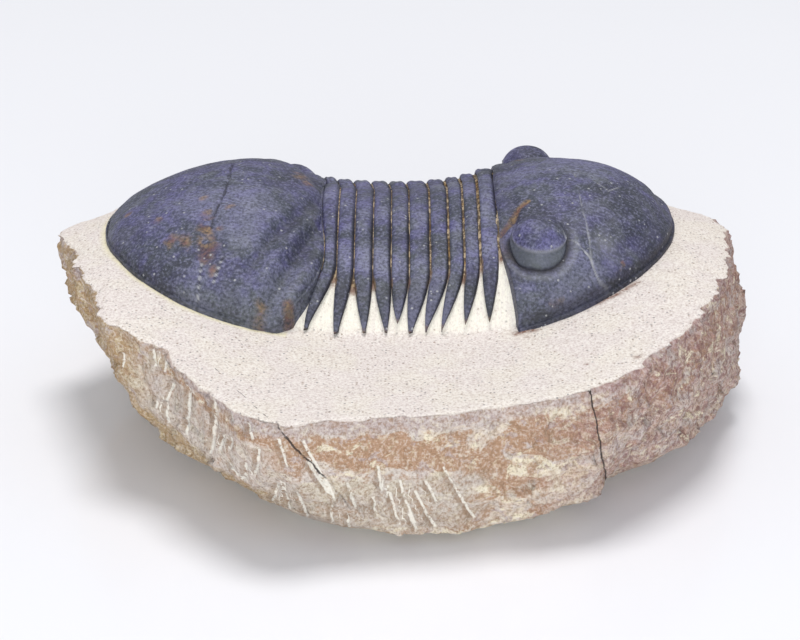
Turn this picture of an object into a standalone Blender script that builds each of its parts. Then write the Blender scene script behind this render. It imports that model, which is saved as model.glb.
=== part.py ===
"""Trilobite fossil on its limestone slab, in millimetres of the real specimen.

The animal lies along X with its tail at -X and its head at +X. Z is up. The slab rests on z = 0
with the middle of its footprint at the origin. Every plate of the animal is its own closed solid.

Run with:  blender --background --python part.py
"""
import math

import bmesh
import bpy
import numpy as np
from mathutils import Vector

MM = 0.001
GAP = 0.3                    # clear air between neighbouring pieces

# Place of the animal's midline on the slab
AXIS_X = -0.3
AXIS_Y = 10.68

# Upper face of the slab: low in the middle, rising to both ends
TOP_LOW = 19.1               # height of the face beside the thorax
TOP_RISE = 6.9               # how much higher the ends stand
RISE_START = 6.0             # distance along X where the rise begins
RISE_END = 41.0              # distance along X where it is complete
NEAR_FADE = 46.0             # width over which the rise dies away towards -Y
FAR_FADE = 26.0              # the same towards +Y
BACK_DROP = 0.0096           # how fast the face falls away behind the animal
BACK_DROP_START = 20.0
END_TILT = 0.22              # slope of the face beyond the animal's ends
END_TILT_START = 39.0

# Broken outline of the slab, anticlockwise from the head end. Each row is a corner of the upper
# rim (x, y), how far the wall has come in at its foot, and the height of that foot.
SLAB_RIM = (
    (47.0, 4.0, -1.9, 6.5),
    (45.6, 8.6, -1.4, 7.0),
    (40.7, 12.0, 1.0, 6.0),
    (33.0, 23.5, 3.0, 5.0),
    (18.0, 30.6, 4.0, 4.0),
    (-2.0, 32.0, 4.0, 3.0),
    (-20.0, 31.4, 4.0, 4.0),
    (-33.0, 25.0, 4.0, 5.0),
    (-42.6, 10.8, 5.0, 7.0),
    (-49.6, 4.2, 6.5, 8.0),
    (-47.4, -5.4, 7.0, 7.0),
    (-41.4, -19.7, 6.5, 5.5),
    (-38.3, -30.1, 6.0, 5.5),
    (-30.5, -36.6, 4.0, 5.5),
    (-26.9, -42.5, 5.0, 5.5),
    (-18.9, -52.6, 6.0, 6.0),
    (-14.0, -54.5, 4.0, 6.0),
    (-9.3, -52.6, 2.0, 4.0),
    (0.0, -51.6, 1.5, 2.0),
    (12.0, -48.1, 0.5, 2.0),
    (26.0, -45.4, 2.0, 4.2),
    (32.6, -39.5, 3.0, 5.5),
    (38.4, -31.4, 1.5, 5.5),
    (44.0, -17.1, 0.0, 4.5),
    (46.2, -5.3, -1.9, 6.0),
)
SLAB_CENTRE = (0.0, -11.3)   # middle of that outline, seen from the animal's midline
WALL_SWELL = 0.9             # how far the walls bulge between rim and foot
SOLE_SET_IN = 6.0            # the flat sole starts this far inside the foot, plus the foot's height

# Plan of the tail plate (pygidium) and the head plate (cephalon)
TAIL_CENTRE = -18.0
TAIL_LENGTH = 23.9
TAIL_HALF_WIDTH = 27.0
TAIL_FRONT = -11.0           # front edge on the midline
TAIL_FRONT_SWEEP = 5.5       # how far that edge has swept back at the corners
HEAD_CENTRE = 14.0
HEAD_LENGTH = 25.1
HEAD_HALF_WIDTH = 26.8
HEAD_BACK = 13.3             # rear edge on the midline
HEAD_BACK_SWEEP = 2.6        # how far that edge has moved forward at the genal angles

# Domes of the two plates, above the slab's face
EDGE_HEIGHT = 0.6            # thickness of the two plates at their margins
TAIL_CROWN_X = -19.0
TAIL_CROWN = 11.8
TAIL_FRONT_FALL = 17.6       # distance over which the dome would fall to nothing in front
HEAD_CROWN_X = 17.0
HEAD_CROWN = 12.3

# Thorax: ten jointed segments, counted from the head
THORAX_EDGE = 0.9            # thickness of the segments at the slab's face
THORAX_HALF_WIDTH = 25.5
THORAX_CROWN = 9.5
THORAX_RISE_TAIL = 0.0055
THORAX_RISE_HEAD = 0.014
SEGMENT_WIDTHS = (2.15, 2.1, 2.05, 2.5, 2.85, 2.45, 2.45, 2.5, 2.3, 2.3)
SEGMENT_THICKNESS = 1.0
SPINES = (                   # how far each spine's tip is swept along X, and its reach from the midline
    (0.5, 24.3), (-0.65, 24.4), (-1.95, 24.9), (-1.8, 24.9), (-1.1, 25.5),
    (0.0, 24.6), (0.65, 25.4), (0.3, 25.5), (-1.3, 25.8), (-3.0, 25.6),
)
SPINE_START = 17.0           # distance from the midline where the spines begin to taper
RIDGE_DEPTH = 1.6            # the slab's raised ridge lies this far under the segments' backs
RIDGE_SET_IN = 1.2           # and is this much narrower on each side
RIDGE_ROOT = 3.0             # it reaches this far into the slab
RIDGE_CAP = 0.125            # share of its rings that close each end

# Eyes: a rounded knob on each cheek
EYE_X = 18.9
EYE_Y = 16.4
EYE_Z = 28.3
EYE_RADII = (4.1, 5.0, 4.4)
EYE_SQUARENESS = 0.8         # 1 is an ellipsoid, less is boxier

SLATE = (0.115, 0.115, 0.175, 1.0)
LIMESTONE = (0.74, 0.66, 0.60, 1.0)


def smooth_step(low, high, value):
    t = min(max((value - low) / (high - low), 0.0), 1.0)
    return t * t * (3.0 - 2.0 * t)


def slab_face(x, y):
    """Height of the slab's upper face."""
    rise = TOP_RISE * smooth_step(RISE_START, RISE_END, abs(x))
    fade = NEAR_FADE if y < 0.0 else FAR_FADE
    back = BACK_DROP * max(y - BACK_DROP_START, 0.0) ** 2
    tilt = END_TILT * max(abs(x) - END_TILT_START, 0.0)
    return TOP_LOW + rise * math.exp(-((y / fade) ** 2)) - back - tilt


def slab_outline():
    """Direction, distance, set-in and foot height of each rim corner, seen from the slab's centre."""
    corners = [(x - SLAB_CENTRE[0], y - SLAB_CENTRE[1], inset, foot) for x, y, inset, foot in SLAB_RIM]
    angles = [math.atan2(y, x) for x, y, inset, foot in corners]
    reach = [math.hypot(x, y) for x, y, inset, foot in corners]
    insets = [inset for x, y, inset, foot in corners]
    feet = [foot for x, y, inset, foot in corners]
    return angles, reach, insets, feet


RIM_ANGLES, RIM_REACH, RIM_INSETS, RIM_FEET = slab_outline()
TOP_SHARE = 0.5              # share of the slab's rings that lie on the upper face
WALL_SHARE = 0.38            # share that lies on the walls
FOOT_SHARE = 0.72            # where on the wall, going down, its foot lies


def slab_point(angle, level):
    """Point of the slab: level 0 is the middle of the face, 1 the middle of the sole."""
    reach = np.interp(angle, RIM_ANGLES, RIM_REACH, period=math.tau)
    inset = np.interp(angle, RIM_ANGLES, RIM_INSETS, period=math.tau)
    foot = np.interp(angle, RIM_ANGLES, RIM_FEET, period=math.tau)
    sole = reach - inset - SOLE_SET_IN - foot
    along = (math.cos(angle), math.sin(angle))
    rim_x = SLAB_CENTRE[0] + reach * along[0]
    rim_y = SLAB_CENTRE[1] + reach * along[1]
    rim = slab_face(rim_x, rim_y)
    if level <= TOP_SHARE:
        distance = reach * level / TOP_SHARE
        x = SLAB_CENTRE[0] + distance * along[0]
        y = SLAB_CENTRE[1] + distance * along[1]
        return x, y, slab_face(x, y)
    wall = (level - TOP_SHARE) / WALL_SHARE
    if wall < FOOT_SHARE:
        down = wall / FOOT_SHARE
        distance = reach - inset * down + WALL_SWELL * math.sin(math.pi * down)
        height = rim + (foot - rim) * down
    elif wall < 1.0:
        under = (wall - FOOT_SHARE) / (1.0 - FOOT_SHARE)
        distance = reach - inset + (sole - reach + inset) * under
        height = foot * (1.0 - under) ** 2
    else:
        distance = sole * (1.0 - level) / (1.0 - TOP_SHARE - WALL_SHARE)
        height = 0.0
    return SLAB_CENTRE[0] + distance * along[0], SLAB_CENTRE[1] + distance * along[1], height


def tail_dome(x, y):
    """Height of the tail plate's back."""
    behind = min(max((TAIL_CENTRE - x) / TAIL_LENGTH, 0.0), 1.0)
    half_width = TAIL_HALF_WIDTH * math.sqrt(1.0 - behind ** 2)
    across = min(abs(y) / max(half_width, 0.01), 1.0)
    if x < TAIL_CROWN_X:
        reach = (TAIL_CROWN_X - x) / (TAIL_CROWN_X - TAIL_CENTRE + TAIL_LENGTH)
        crown = TAIL_CROWN * (1.0 - min(reach, 1.0) ** 1.5)
    else:
        crown = TAIL_CROWN * (1.0 - ((x - TAIL_CROWN_X) / TAIL_FRONT_FALL) ** 2)
    return slab_face(x, y) + EDGE_HEIGHT + crown * (1.0 - across ** 2) ** 0.6


def tail_plan(across, along):
    """Plan position on the tail plate from across -1..1 (right to left) and along -1..1 (tail to front)."""
    y = TAIL_HALF_WIDTH * across
    tail = TAIL_CENTRE - TAIL_LENGTH * math.sqrt(max(1.0 - across ** 2, 0.0))
    front = TAIL_FRONT - TAIL_FRONT_SWEEP * abs(across) ** 7
    return 0.5 * (tail + front) + 0.5 * (front - tail) * along, y


def head_half_width(x):
    ahead = min(max((x - HEAD_CENTRE) / HEAD_LENGTH, 0.0), 1.0)
    return HEAD_HALF_WIDTH * math.sqrt(1.0 - ahead ** 1.7)


def head_dome(x, y):
    """Height of the head plate's back, without the eyes."""
    across = min(abs(y) / max(head_half_width(x), 0.01), 1.0)
    if x > HEAD_CROWN_X:
        reach = (x - HEAD_CROWN_X) / (HEAD_CENTRE + HEAD_LENGTH - HEAD_CROWN_X)
        crown = HEAD_CROWN * (1.0 - min(reach, 1.0) ** 1.8) ** 0.75
    else:
        crown = HEAD_CROWN * (1.0 - ((HEAD_CROWN_X - x) / TAIL_FRONT_FALL) ** 2)
    return slab_face(x, y) + EDGE_HEIGHT + crown * (1.0 - across ** 2) ** 0.6


def head_plan(across, along):
    """Plan position on the head plate from across -1..1 and along -1..1 (rear edge to front)."""
    y = HEAD_HALF_WIDTH * across
    front = HEAD_CENTRE + HEAD_LENGTH * max(1.0 - across ** 2, 0.0) ** (1.0 / 1.7)
    back = HEAD_BACK + HEAD_BACK_SWEEP * across ** 2
    front = max(front, back)
    return 0.5 * (back + front) + 0.5 * (front - back) * along, y


PLATE_TOP_SHARE = 0.55       # share of a plate's rings on its back
PLATE_EDGE_SHARE = 0.2       # share on its edge, down to the slab


def plate_point(plan, dome, angle, level):
    """Point of a domed plate: level 0 is the crown, 1 the middle of its underside."""
    if level <= PLATE_TOP_SHARE:
        ring = math.sin(0.5 * math.pi * level / PLATE_TOP_SHARE)
        drop = 0.0
    elif level < PLATE_TOP_SHARE + PLATE_EDGE_SHARE:
        ring = 1.0
        drop = (level - PLATE_TOP_SHARE) / PLATE_EDGE_SHARE
    else:
        ring = (1.0 - level) / (1.0 - PLATE_TOP_SHARE - PLATE_EDGE_SHARE)
        drop = 1.0
    across = ring * math.sin(angle)
    width = math.sqrt(max(1.0 - across ** 2, 1e-9))
    along = min(max(ring * math.cos(angle) / width, -1.0), 1.0)
    x, y = plan(across, along)
    under = slab_face(x, y) + GAP
    return x, y, dome(x, y) * (1.0 - drop) + under * drop


def thorax_crown(x):
    """Height of the thorax's crown above the slab's face, without their edge height."""
    rise = THORAX_RISE_HEAD if x > 0.0 else THORAX_RISE_TAIL
    return THORAX_CROWN + rise * x * x


def thorax_back(x, y):
    """Height of the backs of the thoracic segments."""
    across = min(abs(y) / THORAX_HALF_WIDTH, 1.0)
    return slab_face(x, y) + THORAX_EDGE + thorax_crown(x) * (1.0 - across ** 2) ** 0.75


def arch(x, y, depth):
    """Point that lies depth below the backs of the thoracic segments, square to them."""
    step = 0.05
    slope = (thorax_back(x, y + step) - thorax_back(x, y - step)) / (2.0 * step)
    length = math.hypot(slope, 1.0)
    return y + depth * slope / length, thorax_back(x, y) - depth / length


def segment_edges():
    """X of the joints between the segments, from the head plate to the tail plate."""
    share = (HEAD_BACK - TAIL_FRONT) / sum(SEGMENT_WIDTHS)
    edges = [HEAD_BACK]
    for width in SEGMENT_WIDTHS:
        edges.append(edges[-1] - width * share)
    return edges


def segment_point(number, angle, level):
    """Point of a thoracic segment: level runs from its near spine tip to its far one."""
    edges = segment_edges()
    sweep, reach = SPINES[number]
    middle = 0.5 * (edges[number] + edges[number + 1])
    half_width = 0.5 * (edges[number] - edges[number + 1] - GAP)
    y = -reach * math.cos(math.pi * level)
    along_spine = min(max((abs(y) - SPINE_START) / (reach - SPINE_START), 0.0), 1.0)
    taper = (1.0 - along_spine ** 1.6) ** 0.8
    middle += sweep * along_spine ** 1.5
    round_x = math.copysign(abs(math.cos(angle)) ** 0.6, math.cos(angle))
    round_z = math.copysign(abs(math.sin(angle)) ** 0.8, math.sin(angle))
    thickness = SEGMENT_THICKNESS * (0.45 + 0.55 * taper)
    x = middle + half_width * taper * round_x
    depth = 0.5 * thickness * (1.0 - round_z * taper)
    y, z = arch(middle, y, depth)
    return x, y, z


def ridge_point(angle, level):
    """Point of the matrix ridge that fills the arch of the thorax; level runs from tail to head."""
    start = TAIL_FRONT + GAP
    end = HEAD_BACK - GAP
    x = start + (end - start) * min(max((level - RIDGE_CAP) / (1.0 - 2.0 * RIDGE_CAP), 0.0), 1.0)
    if level < 0.5 * RIDGE_CAP or level > 1.0 - 0.5 * RIDGE_CAP:
        return x, 0.0, TOP_LOW
    across = math.cos(angle)
    y = (THORAX_HALF_WIDTH - RIDGE_SET_IN) * across
    face = slab_face(x, y)
    if math.sin(angle) < -0.01:
        return x, y, face - RIDGE_ROOT
    crown = thorax_crown(x) + THORAX_EDGE - RIDGE_DEPTH
    return x, y, face + crown * max(1.0 - across ** 2, 0.0) ** 0.75


def moulded_sphere(name, segments, rings, shape):
    """A mesh object made from a UV sphere, each point placed by shape(angle, level).

    angle runs around the sphere's own axis and level from 0 at one pole to 1 at the other.
    """
    mesh = bpy.data.meshes.new(name)
    form = bmesh.new()
    bmesh.ops.create_uvsphere(form, u_segments=segments, v_segments=rings, radius=1.0)
    for vert in form.verts:
        level = round(math.acos(min(max(vert.co.z, -1.0), 1.0)) / math.pi * rings) / rings
        angle = math.atan2(vert.co.y, vert.co.x)
        vert.co = Vector(shape(angle, level)) * MM
    bmesh.ops.recalc_face_normals(form, faces=form.faces)
    form.to_mesh(mesh)
    form.free()
    mesh.shade_smooth()
    mesh.set_sharp_from_angle(angle=math.radians(40.0))
    obj = bpy.data.objects.new(name, mesh)
    obj.location = Vector((AXIS_X, AXIS_Y, 0.0)) * MM
    return obj


def principled(name, colour, roughness):
    material = bpy.data.materials.new(name)
    material.use_nodes = True
    shader = material.node_tree.nodes["Principled BSDF"]
    shader.inputs["Base Color"].default_value = colour
    shader.inputs["Roughness"].default_value = roughness
    shader.inputs["Metallic"].default_value = 0.0
    material.diffuse_color = colour
    return material


def add_union(target, tool):
    """Join a tool solid to the target with a Boolean, and keep the tool out of the model."""
    joint = target.modifiers.new("join_" + tool.name, 'BOOLEAN')
    joint.operation = 'UNION'
    joint.solver = 'EXACT'
    joint.object = tool
    tool.hide_render = True
    tool.display_type = 'WIRE'


def matrix_slab(model, tools):
    slab = moulded_sphere("matrix_slab", 72, 26, slab_point)
    ridge = moulded_sphere("thorax_ridge_tool", 44, 8, ridge_point)
    slab.data.materials.append(principled("limestone", LIMESTONE, 0.85))
    model.objects.link(slab)
    tools.objects.link(ridge)
    add_union(slab, ridge)


def pygidium(model):
    plate = moulded_sphere("pygidium", 40, 16, lambda a, v: plate_point(tail_plan, tail_dome, a, v))
    plate.data.materials.append(principled("tail_slate", SLATE, 0.42))
    model.objects.link(plate)


def cephalon(model, tools):
    plate = moulded_sphere("cephalon", 40, 16, lambda a, v: plate_point(head_plan, head_dome, a, v))
    plate.data.materials.append(principled("head_slate", SLATE, 0.42))
    model.objects.link(plate)
    for side, name in ((-1.0, "eye_near_tool"), (1.0, "eye_far_tool")):
        def eye_point(angle, level, side=side):
            ring = math.sin(math.pi * level) ** EYE_SQUARENESS
            x = EYE_X + EYE_RADII[0] * ring * math.cos(angle)
            y = side * EYE_Y + EYE_RADII[1] * ring * math.sin(angle)
            return x, y, EYE_Z + EYE_RADII[2] * math.cos(math.pi * level)

        eye = moulded_sphere(name, 16, 10, eye_point)
        tools.objects.link(eye)
        add_union(plate, eye)


def thorax(model):
    for number in range(len(SEGMENT_WIDTHS)):
        def point(angle, level, number=number):
            return segment_point(number, angle, level)

        name = f"thoracic_segment_{number + 1:02d}"
        segment = moulded_sphere(name, 8, 22, point)
        segment.data.materials.append(principled(name + "_slate", SLATE, 0.42))
        model.objects.link(segment)


def main():
    for obj in list(bpy.data.objects):
        bpy.data.objects.remove(obj, do_unlink=True)
    model = bpy.data.collections.new("trilobite_fossil")
    tools = bpy.data.collections.new("joining_tools")
    bpy.context.scene.collection.children.link(model)
    bpy.context.scene.collection.children.link(tools)
    matrix_slab(model, tools)
    pygidium(model)
    thorax(model)
    cephalon(model, tools)


if __name__ == "__main__":
    main()
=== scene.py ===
"""Trilobite fossil on its limestone slab: the looks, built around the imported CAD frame.

Sizes inside the shape functions are millimetres in the animal's own axes: X along its midline, tail
at -X and head at +X, Y away from the viewer, Z up from the slab's sole.
"""

import math

import bpy
import numpy as np
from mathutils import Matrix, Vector


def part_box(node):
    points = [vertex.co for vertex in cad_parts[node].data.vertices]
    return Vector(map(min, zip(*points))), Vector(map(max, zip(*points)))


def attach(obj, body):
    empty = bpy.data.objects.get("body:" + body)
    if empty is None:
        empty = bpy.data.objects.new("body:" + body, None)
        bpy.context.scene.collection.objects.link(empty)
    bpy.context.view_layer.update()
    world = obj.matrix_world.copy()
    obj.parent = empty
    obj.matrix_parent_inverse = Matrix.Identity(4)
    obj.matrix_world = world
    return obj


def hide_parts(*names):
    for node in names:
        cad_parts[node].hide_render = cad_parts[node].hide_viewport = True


bl_info = {
    "name": "Trilobite Fossil",
    "version": (1, 0, 0),
    "blender": (4, 5, 0),
    "location": "View3D > Sidebar > Trilobite",
    "description": "Builds a prepared trilobite lying on its limestone slab",
    "category": "Object",
}

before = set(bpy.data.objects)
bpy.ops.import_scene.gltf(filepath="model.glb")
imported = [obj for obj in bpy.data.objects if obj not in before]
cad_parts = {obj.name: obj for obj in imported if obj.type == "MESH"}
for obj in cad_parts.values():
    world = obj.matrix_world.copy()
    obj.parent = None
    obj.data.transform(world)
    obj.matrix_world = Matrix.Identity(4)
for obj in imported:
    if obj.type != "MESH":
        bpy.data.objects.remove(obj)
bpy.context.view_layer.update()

MM = 0.001
TAU = math.tau

# ---------------------------------------------------------------- shape of the specimen, in mm

TOP_LOW, TOP_RISE, RISE_START, RISE_END = 19.1, 6.9, 6.0, 41.0
NEAR_FADE, FAR_FADE = 46.0, 26.0
BACK_DROP, BACK_DROP_START = 0.0096, 20.0
END_TILT, END_TILT_START = 0.22, 39.0

# Corners of the slab's rim, anticlockwise: x, y, how far the wall's foot is set in, the foot's height
SLAB_RIM = (
    (47.0, 4.0, -1.9, 6.5), (45.6, 8.6, -1.4, 7.0), (40.7, 12.0, 1.0, 6.0), (33.0, 23.5, 3.0, 5.0),
    (18.0, 30.6, 4.0, 4.0), (-2.0, 32.0, 4.0, 3.0), (-20.0, 31.4, 4.0, 4.0), (-33.0, 25.0, 4.0, 5.0),
    (-42.6, 10.8, 5.0, 7.0), (-49.6, 4.2, 6.5, 8.0), (-47.4, -5.4, 7.0, 7.0), (-41.4, -19.7, 6.5, 5.5),
    (-38.3, -30.1, 6.0, 5.5), (-30.5, -36.6, 4.0, 5.5), (-26.9, -42.5, 5.0, 5.5),
    (-18.9, -52.6, 6.0, 6.0), (-14.0, -54.5, 4.0, 6.0), (-9.3, -52.6, 2.0, 4.0), (0.0, -51.6, 1.5, 2.0),
    (12.0, -48.1, 0.5, 2.0), (26.0, -45.4, 2.0, 4.2), (32.6, -39.5, 3.0, 5.5), (38.4, -31.4, 1.5, 5.5),
    (44.0, -17.1, 0.0, 4.5), (46.2, -5.3, -1.9, 6.0),
)
SLAB_CENTRE = (0.0, -11.3)
WALL_SWELL = 0.9
SOLE_SET_IN = 6.0

TAIL_CENTRE, TAIL_LENGTH, TAIL_HALF_WIDTH = -18.0, 23.9, 27.0
TAIL_FRONT, TAIL_FRONT_SWEEP = -11.0, 5.5
HEAD_CENTRE, HEAD_LENGTH, HEAD_HALF_WIDTH = 14.0, 25.1, 26.8
HEAD_BACK, HEAD_BACK_SWEEP = 13.3, 2.6
EDGE_HEIGHT = 0.6
TAIL_CROWN_X, TAIL_CROWN, FRONT_FALL = -19.0, 11.8, 17.6
HEAD_CROWN_X, HEAD_CROWN = 17.0, 12.3
HEAD_POINT = 1.7             # power of the head's outline: the lower, the more pointed
PLATE_ARCH, THORAX_ARCH = 0.6, 0.75    # powers of the arches across: the lower, the flatter on top
TAIL_HINGE, TAIL_HINGE_WIDTH = 1.0, 12.0    # lift of the tail plate's front edge to meet the thorax
PLATE_SINK = 0.25            # how far the undersides of the end plates go into the slab

THORAX_EDGE, THORAX_HALF_WIDTH, THORAX_CROWN = 0.9, 25.5, 9.5
THORAX_RISE_TAIL, THORAX_RISE_HEAD = 0.0055, 0.014
SEGMENT_WIDTHS = (2.15, 2.1, 2.05, 2.5, 2.85, 2.45, 2.45, 2.5, 2.3, 2.3)
SPINE_START = 17.0
# Sweep and reach of each segment's spine, and how far out the matrix wedge on its tail side begins
SPINES = (
    (-0.2, 25.2, 18.7), (-1.25, 25.2, 19.7), (-2.3, 25.6, 19.0), (-2.1, 25.7, 18.9), (-1.5, 26.1, 19.8),
    (-0.4, 25.0, 19.8), (0.6, 25.9, 19.9), (0.2, 26.0, 20.7), (-1.3, 26.5, 19.5), (-3.1, 26.2, 19.5),
)

# Furrows that mark off the thorax's axis
FURROW_SIDE, FURROW_WIDTH, FURROW_DEPTH = 10.4, 1.6, 0.38
# Bulges out on the flanks of the plates beside the thorax: how far, how far out and how wide
TAIL_SWELL, TAIL_SWELL_SIDE, TAIL_SWELL_WIDTH = 0.65, 15.5, 7.0
HEAD_SWELL, HEAD_SWELL_SIDE, HEAD_SWELL_WIDTH = 0.6, 16.5, 4.0
SEGMENT_SWELL_SIDE, SEGMENT_SWELL_WIDTH = 14.0, 5.5
FIRST_SEGMENT_SWELL = 1.42   # bulge of the first segment's front, as a share of the head's

# How far the axis and the far flank stand above the even arch, and where across they do
AXIS_LIFT, AXIS_LIFT_WIDTH = 0.3, 8.0
FAR_LIFT, FAR_LIFT_IN, FAR_LIFT_OUT = 0.6, (9.0, 16.0), (25.0, 18.0)
FAR_SWEEP, FAR_SWEEP_IN = 1.0, (8.0, 17.0)    # how far the far flanks are swept back at the tail end
WEDGE_DEPTH = 0.3            # how much deeper the matrix lies between the spines than in the joints
PLATE_CLEAR = 0.4            # how far the matrix keeps below the end plates beside the thorax

EYE_CENTRE = (18.9, 16.4, 28.3)
FAR_EYE_DROP = 0.6
EYE_RADII = (4.1, 5.0, 4.4)
EYE_SQUARENESS = 0.8
EYE_FIELD, EYE_FLOOR = 11.0, 21.0    # reach of an eye over the head plate in plan, and its lowest height
# Rim and base of the eye's surface, in degrees of lift: in its middle, and how much more at EYE_SIDE
EYE_RIM, EYE_BASE, EYE_SIDE = (16.0, 8.0), (-34.0, 15.0), 62.0
EYE_ENDS = (104.0, 84.0)     # degrees round to the side between which the eye's surface fades out

# Marks on the animal, as lines of x, y; the ochre ones are round, as x, y, radius
TAIL_CRACK = ((-24.1, 10.0), (-24.0, 3.7), (-24.1, -2.6), (-24.4, -7.9), (-25.0, -10.4), (-25.5, -12.7),
              (-25.8, -15.3))
TAIL_STITCHES = (((-26.7, -20.8), (-27.0, -23.9), (-27.3, -26.0)), ((-23.9, -20.6), (-25.0, -23.7)))
TAIL_FURROWS = (((-10.6, -7.0), (-11.6, -11.5), (-13.6, -17.9), (-16.1, -23.4), (-17.6, -25.6)),
                ((-10.8, 0.0), (-11.8, -4.0), (-13.9, -10.0), (-17.6, -17.1), (-20.1, -22.2)))
TAIL_OCHRE = ((-29.2, -17.1, 1.3), (-31.3, -16.2, 1.1), (-27.3, -8.0, 1.0), (-25.1, -22.0, 0.9),
              (-18.6, -26.2, 1.3), (-15.0, -25.6, 0.8), (-33.2, -10.6, 0.9), (-12.8, 1.3, 1.2),
              (-14.3, 3.3, 1.6), (-23.1, -11.1, 0.8), (-38.3, -4.3, 0.7), (-26.6, -12.0, 0.9),
              (-26.4, -20.6, 0.9))
HEAD_SUTURE = ((20.6, -16.2), (21.7, -17.5), (22.2, -17.4), (23.3, -17.4), (24.6, -18.4), (25.8, -19.4),
               (26.3, -20.4), (26.8, -21.3), (28.2, -21.0))
HEAD_CRACK = ((24.6, -2.0), (24.8, -7.0), (25.1, -12.2), (25.4, -13.7), (25.7, -16.9), (25.8, -19.3))
HEAD_RUST_FURROW = ((17.6, -9.4), (16.3, -10.5), (15.1, -13.1), (13.8, -14.8))
HEAD_SCRATCHES = (((27.6, -4.6), (28.6, -5.6)), ((29.0, -6.4), (30.6, -4.4)))
STITCH_PERIOD, STITCH_WIDTH = 0.85, 0.17
HEAD_PIT, CHEEK_HOLLOW, CHEEK_RUST = (28.6, -12.4), (27.9, -16.9), (30.3, -18.0)

# Rusty marks on the prepared face: lines of x, y with their width, and grains as x, y, radius
FACE_STAINS = ((((15.4, -26.9), (18.0, -26.6)), 0.5),
               (((26.4, -22.3), (29.3, -20.8), (30.7, -19.7), (32.4, -18.2)), 0.4))
FACE_SPOTS = ((30.5, -38.8, 0.42), (23.9, -39.0, 0.3), (31.2, -38.5, 0.25), (16.9, -28.2, 0.3))

# Cracks and chisel strokes on the near walls, as lines of x, z from the top down
NEAR_WALL = -20.0            # y from which a point belongs to the near walls
OFF_STROKE = 9.0             # stands for a distance at which there is no stroke
WALL_CRACKS = (
    ((23.8, 24.0), (24.0, 20.4), (24.7, 16.8), (25.5, 12.3), (26.9, 5.1), (27.2, 2.0)),
    ((-19.5, 20.6), (-17.2, 19.6), (-14.8, 18.3), (-12.4, 15.4), (-9.4, 10.9), (-6.3, 7.0)),
)
CHISEL_STROKES = (
    ((-36.5, 19.4), (-36.7, 16.8)), ((-32.1, 21.5), (-31.9, 18.8)), ((-30.4, 20.8), (-30.5, 18.9)),
    ((-32.0, 14.2), (-32.1, 12.5)), ((-29.3, 17.5), (-30.6, 13.9), (-30.8, 11.8), (-30.5, 9.7)),
    ((-27.0, 20.2), (-27.2, 15.9), (-28.0, 9.9)), ((-23.3, 20.3), (-23.4, 15.6), (-24.5, 9.5)),
    ((-22.2, 15.5), (-23.1, 11.5)), ((-21.2, 15.6), (-21.7, 12.6)), ((-21.6, 19.5), (-20.9, 18.2)),
    ((-18.9, 18.8), (-18.2, 16.6)), ((-17.5, 15.8), (-17.8, 12.8), (-18.6, 9.4)),
    ((-15.0, 17.7), (-14.0, 13.2)),
    ((-22.0, 10.2), (-20.7, 8.1)), ((-19.5, 12.1), (-19.6, 7.7)), ((-15.3, 9.7), (-16.6, 3.7)),
    ((-14.8, 10.8), (-14.1, 3.8)), ((-13.0, 9.3), (-11.7, 3.3)), ((-8.6, 7.5), (-8.6, 3.2)),
    ((-12.1, 17.4), (-10.3, 13.3), (-8.0, 7.2)), ((-11.5, 14.0), (-8.9, 8.6)), ((-6.6, 10.6), (-5.4, 6.5)),
    ((-6.7, 5.7), (-6.4, 2.3)), ((-3.4, 7.9), (-2.9, 4.5)), ((-2.7, 12.5), (-2.6, 10.9), (-2.2, 8.7)),
    ((-1.6, 10.0), (0.0, 3.2)), ((-19.4, 10.3), (-20.4, 7.3)), ((1.8, 8.9), (4.7, 2.4)),
    ((3.2, 10.1), (4.7, 6.9)),
    ((5.2, 12.3), (7.2, 8.4), (9.8, 3.0)), ((0.0, 10.7), (0.7, 7.2), (2.2, 3.1)), ((1.1, 5.4), (2.2, 2.6)),
)


def ramp(low, high, value):
    """Smooth change from 0 to 1 as a value goes from low to high."""
    share = np.clip((value - low) / (high - low), 0.0, 1.0)
    return share * share * (3.0 - 2.0 * share)


def bell(distance, width):
    """1 at no distance, falling to nothing within about two widths."""
    return np.exp(-((distance / width) ** 2))

def spot(places, centre, width):
    """Round mark on a plan, 1 at its centre and falling like a bell."""
    return bell(np.hypot(places[:, 0] - centre[0], places[:, 1] - centre[1]), width)

def slab_face(x, y):
    """Height of the slab's prepared upper face."""
    rise = TOP_RISE * ramp(RISE_START, RISE_END, np.abs(x))
    fade = np.where(y < 0.0, NEAR_FADE, FAR_FADE)
    back = BACK_DROP * np.maximum(y - BACK_DROP_START, 0.0) ** 2
    tilt = END_TILT * np.maximum(np.abs(x) - END_TILT_START, 0.0)
    return TOP_LOW + rise * np.exp(-((y / fade) ** 2)) - back - tilt


def tail_dome(x, y):
    """Height of the tail plate's back."""
    behind = np.clip((TAIL_CENTRE - x) / TAIL_LENGTH, 0.0, 1.0)
    half_width = TAIL_HALF_WIDTH * np.sqrt(1.0 - behind ** 2)
    across = np.minimum(np.abs(y) / np.maximum(half_width, 0.01), 1.0)
    reach = np.clip((TAIL_CROWN_X - x) / (TAIL_CROWN_X - TAIL_CENTRE + TAIL_LENGTH), 0.0, 1.0)
    ahead = (x - TAIL_CROWN_X) / FRONT_FALL
    crown = TAIL_CROWN * np.where(x < TAIL_CROWN_X, 1.0 - reach ** 1.5, 1.0 - ahead ** 2)
    hinge = TAIL_HINGE * ramp(TAIL_CENTRE, TAIL_FRONT, x) * bell(y, TAIL_HINGE_WIDTH)
    return slab_face(x, y) + EDGE_HEIGHT + hinge + crown * (1.0 - across ** 2) ** PLATE_ARCH


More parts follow.
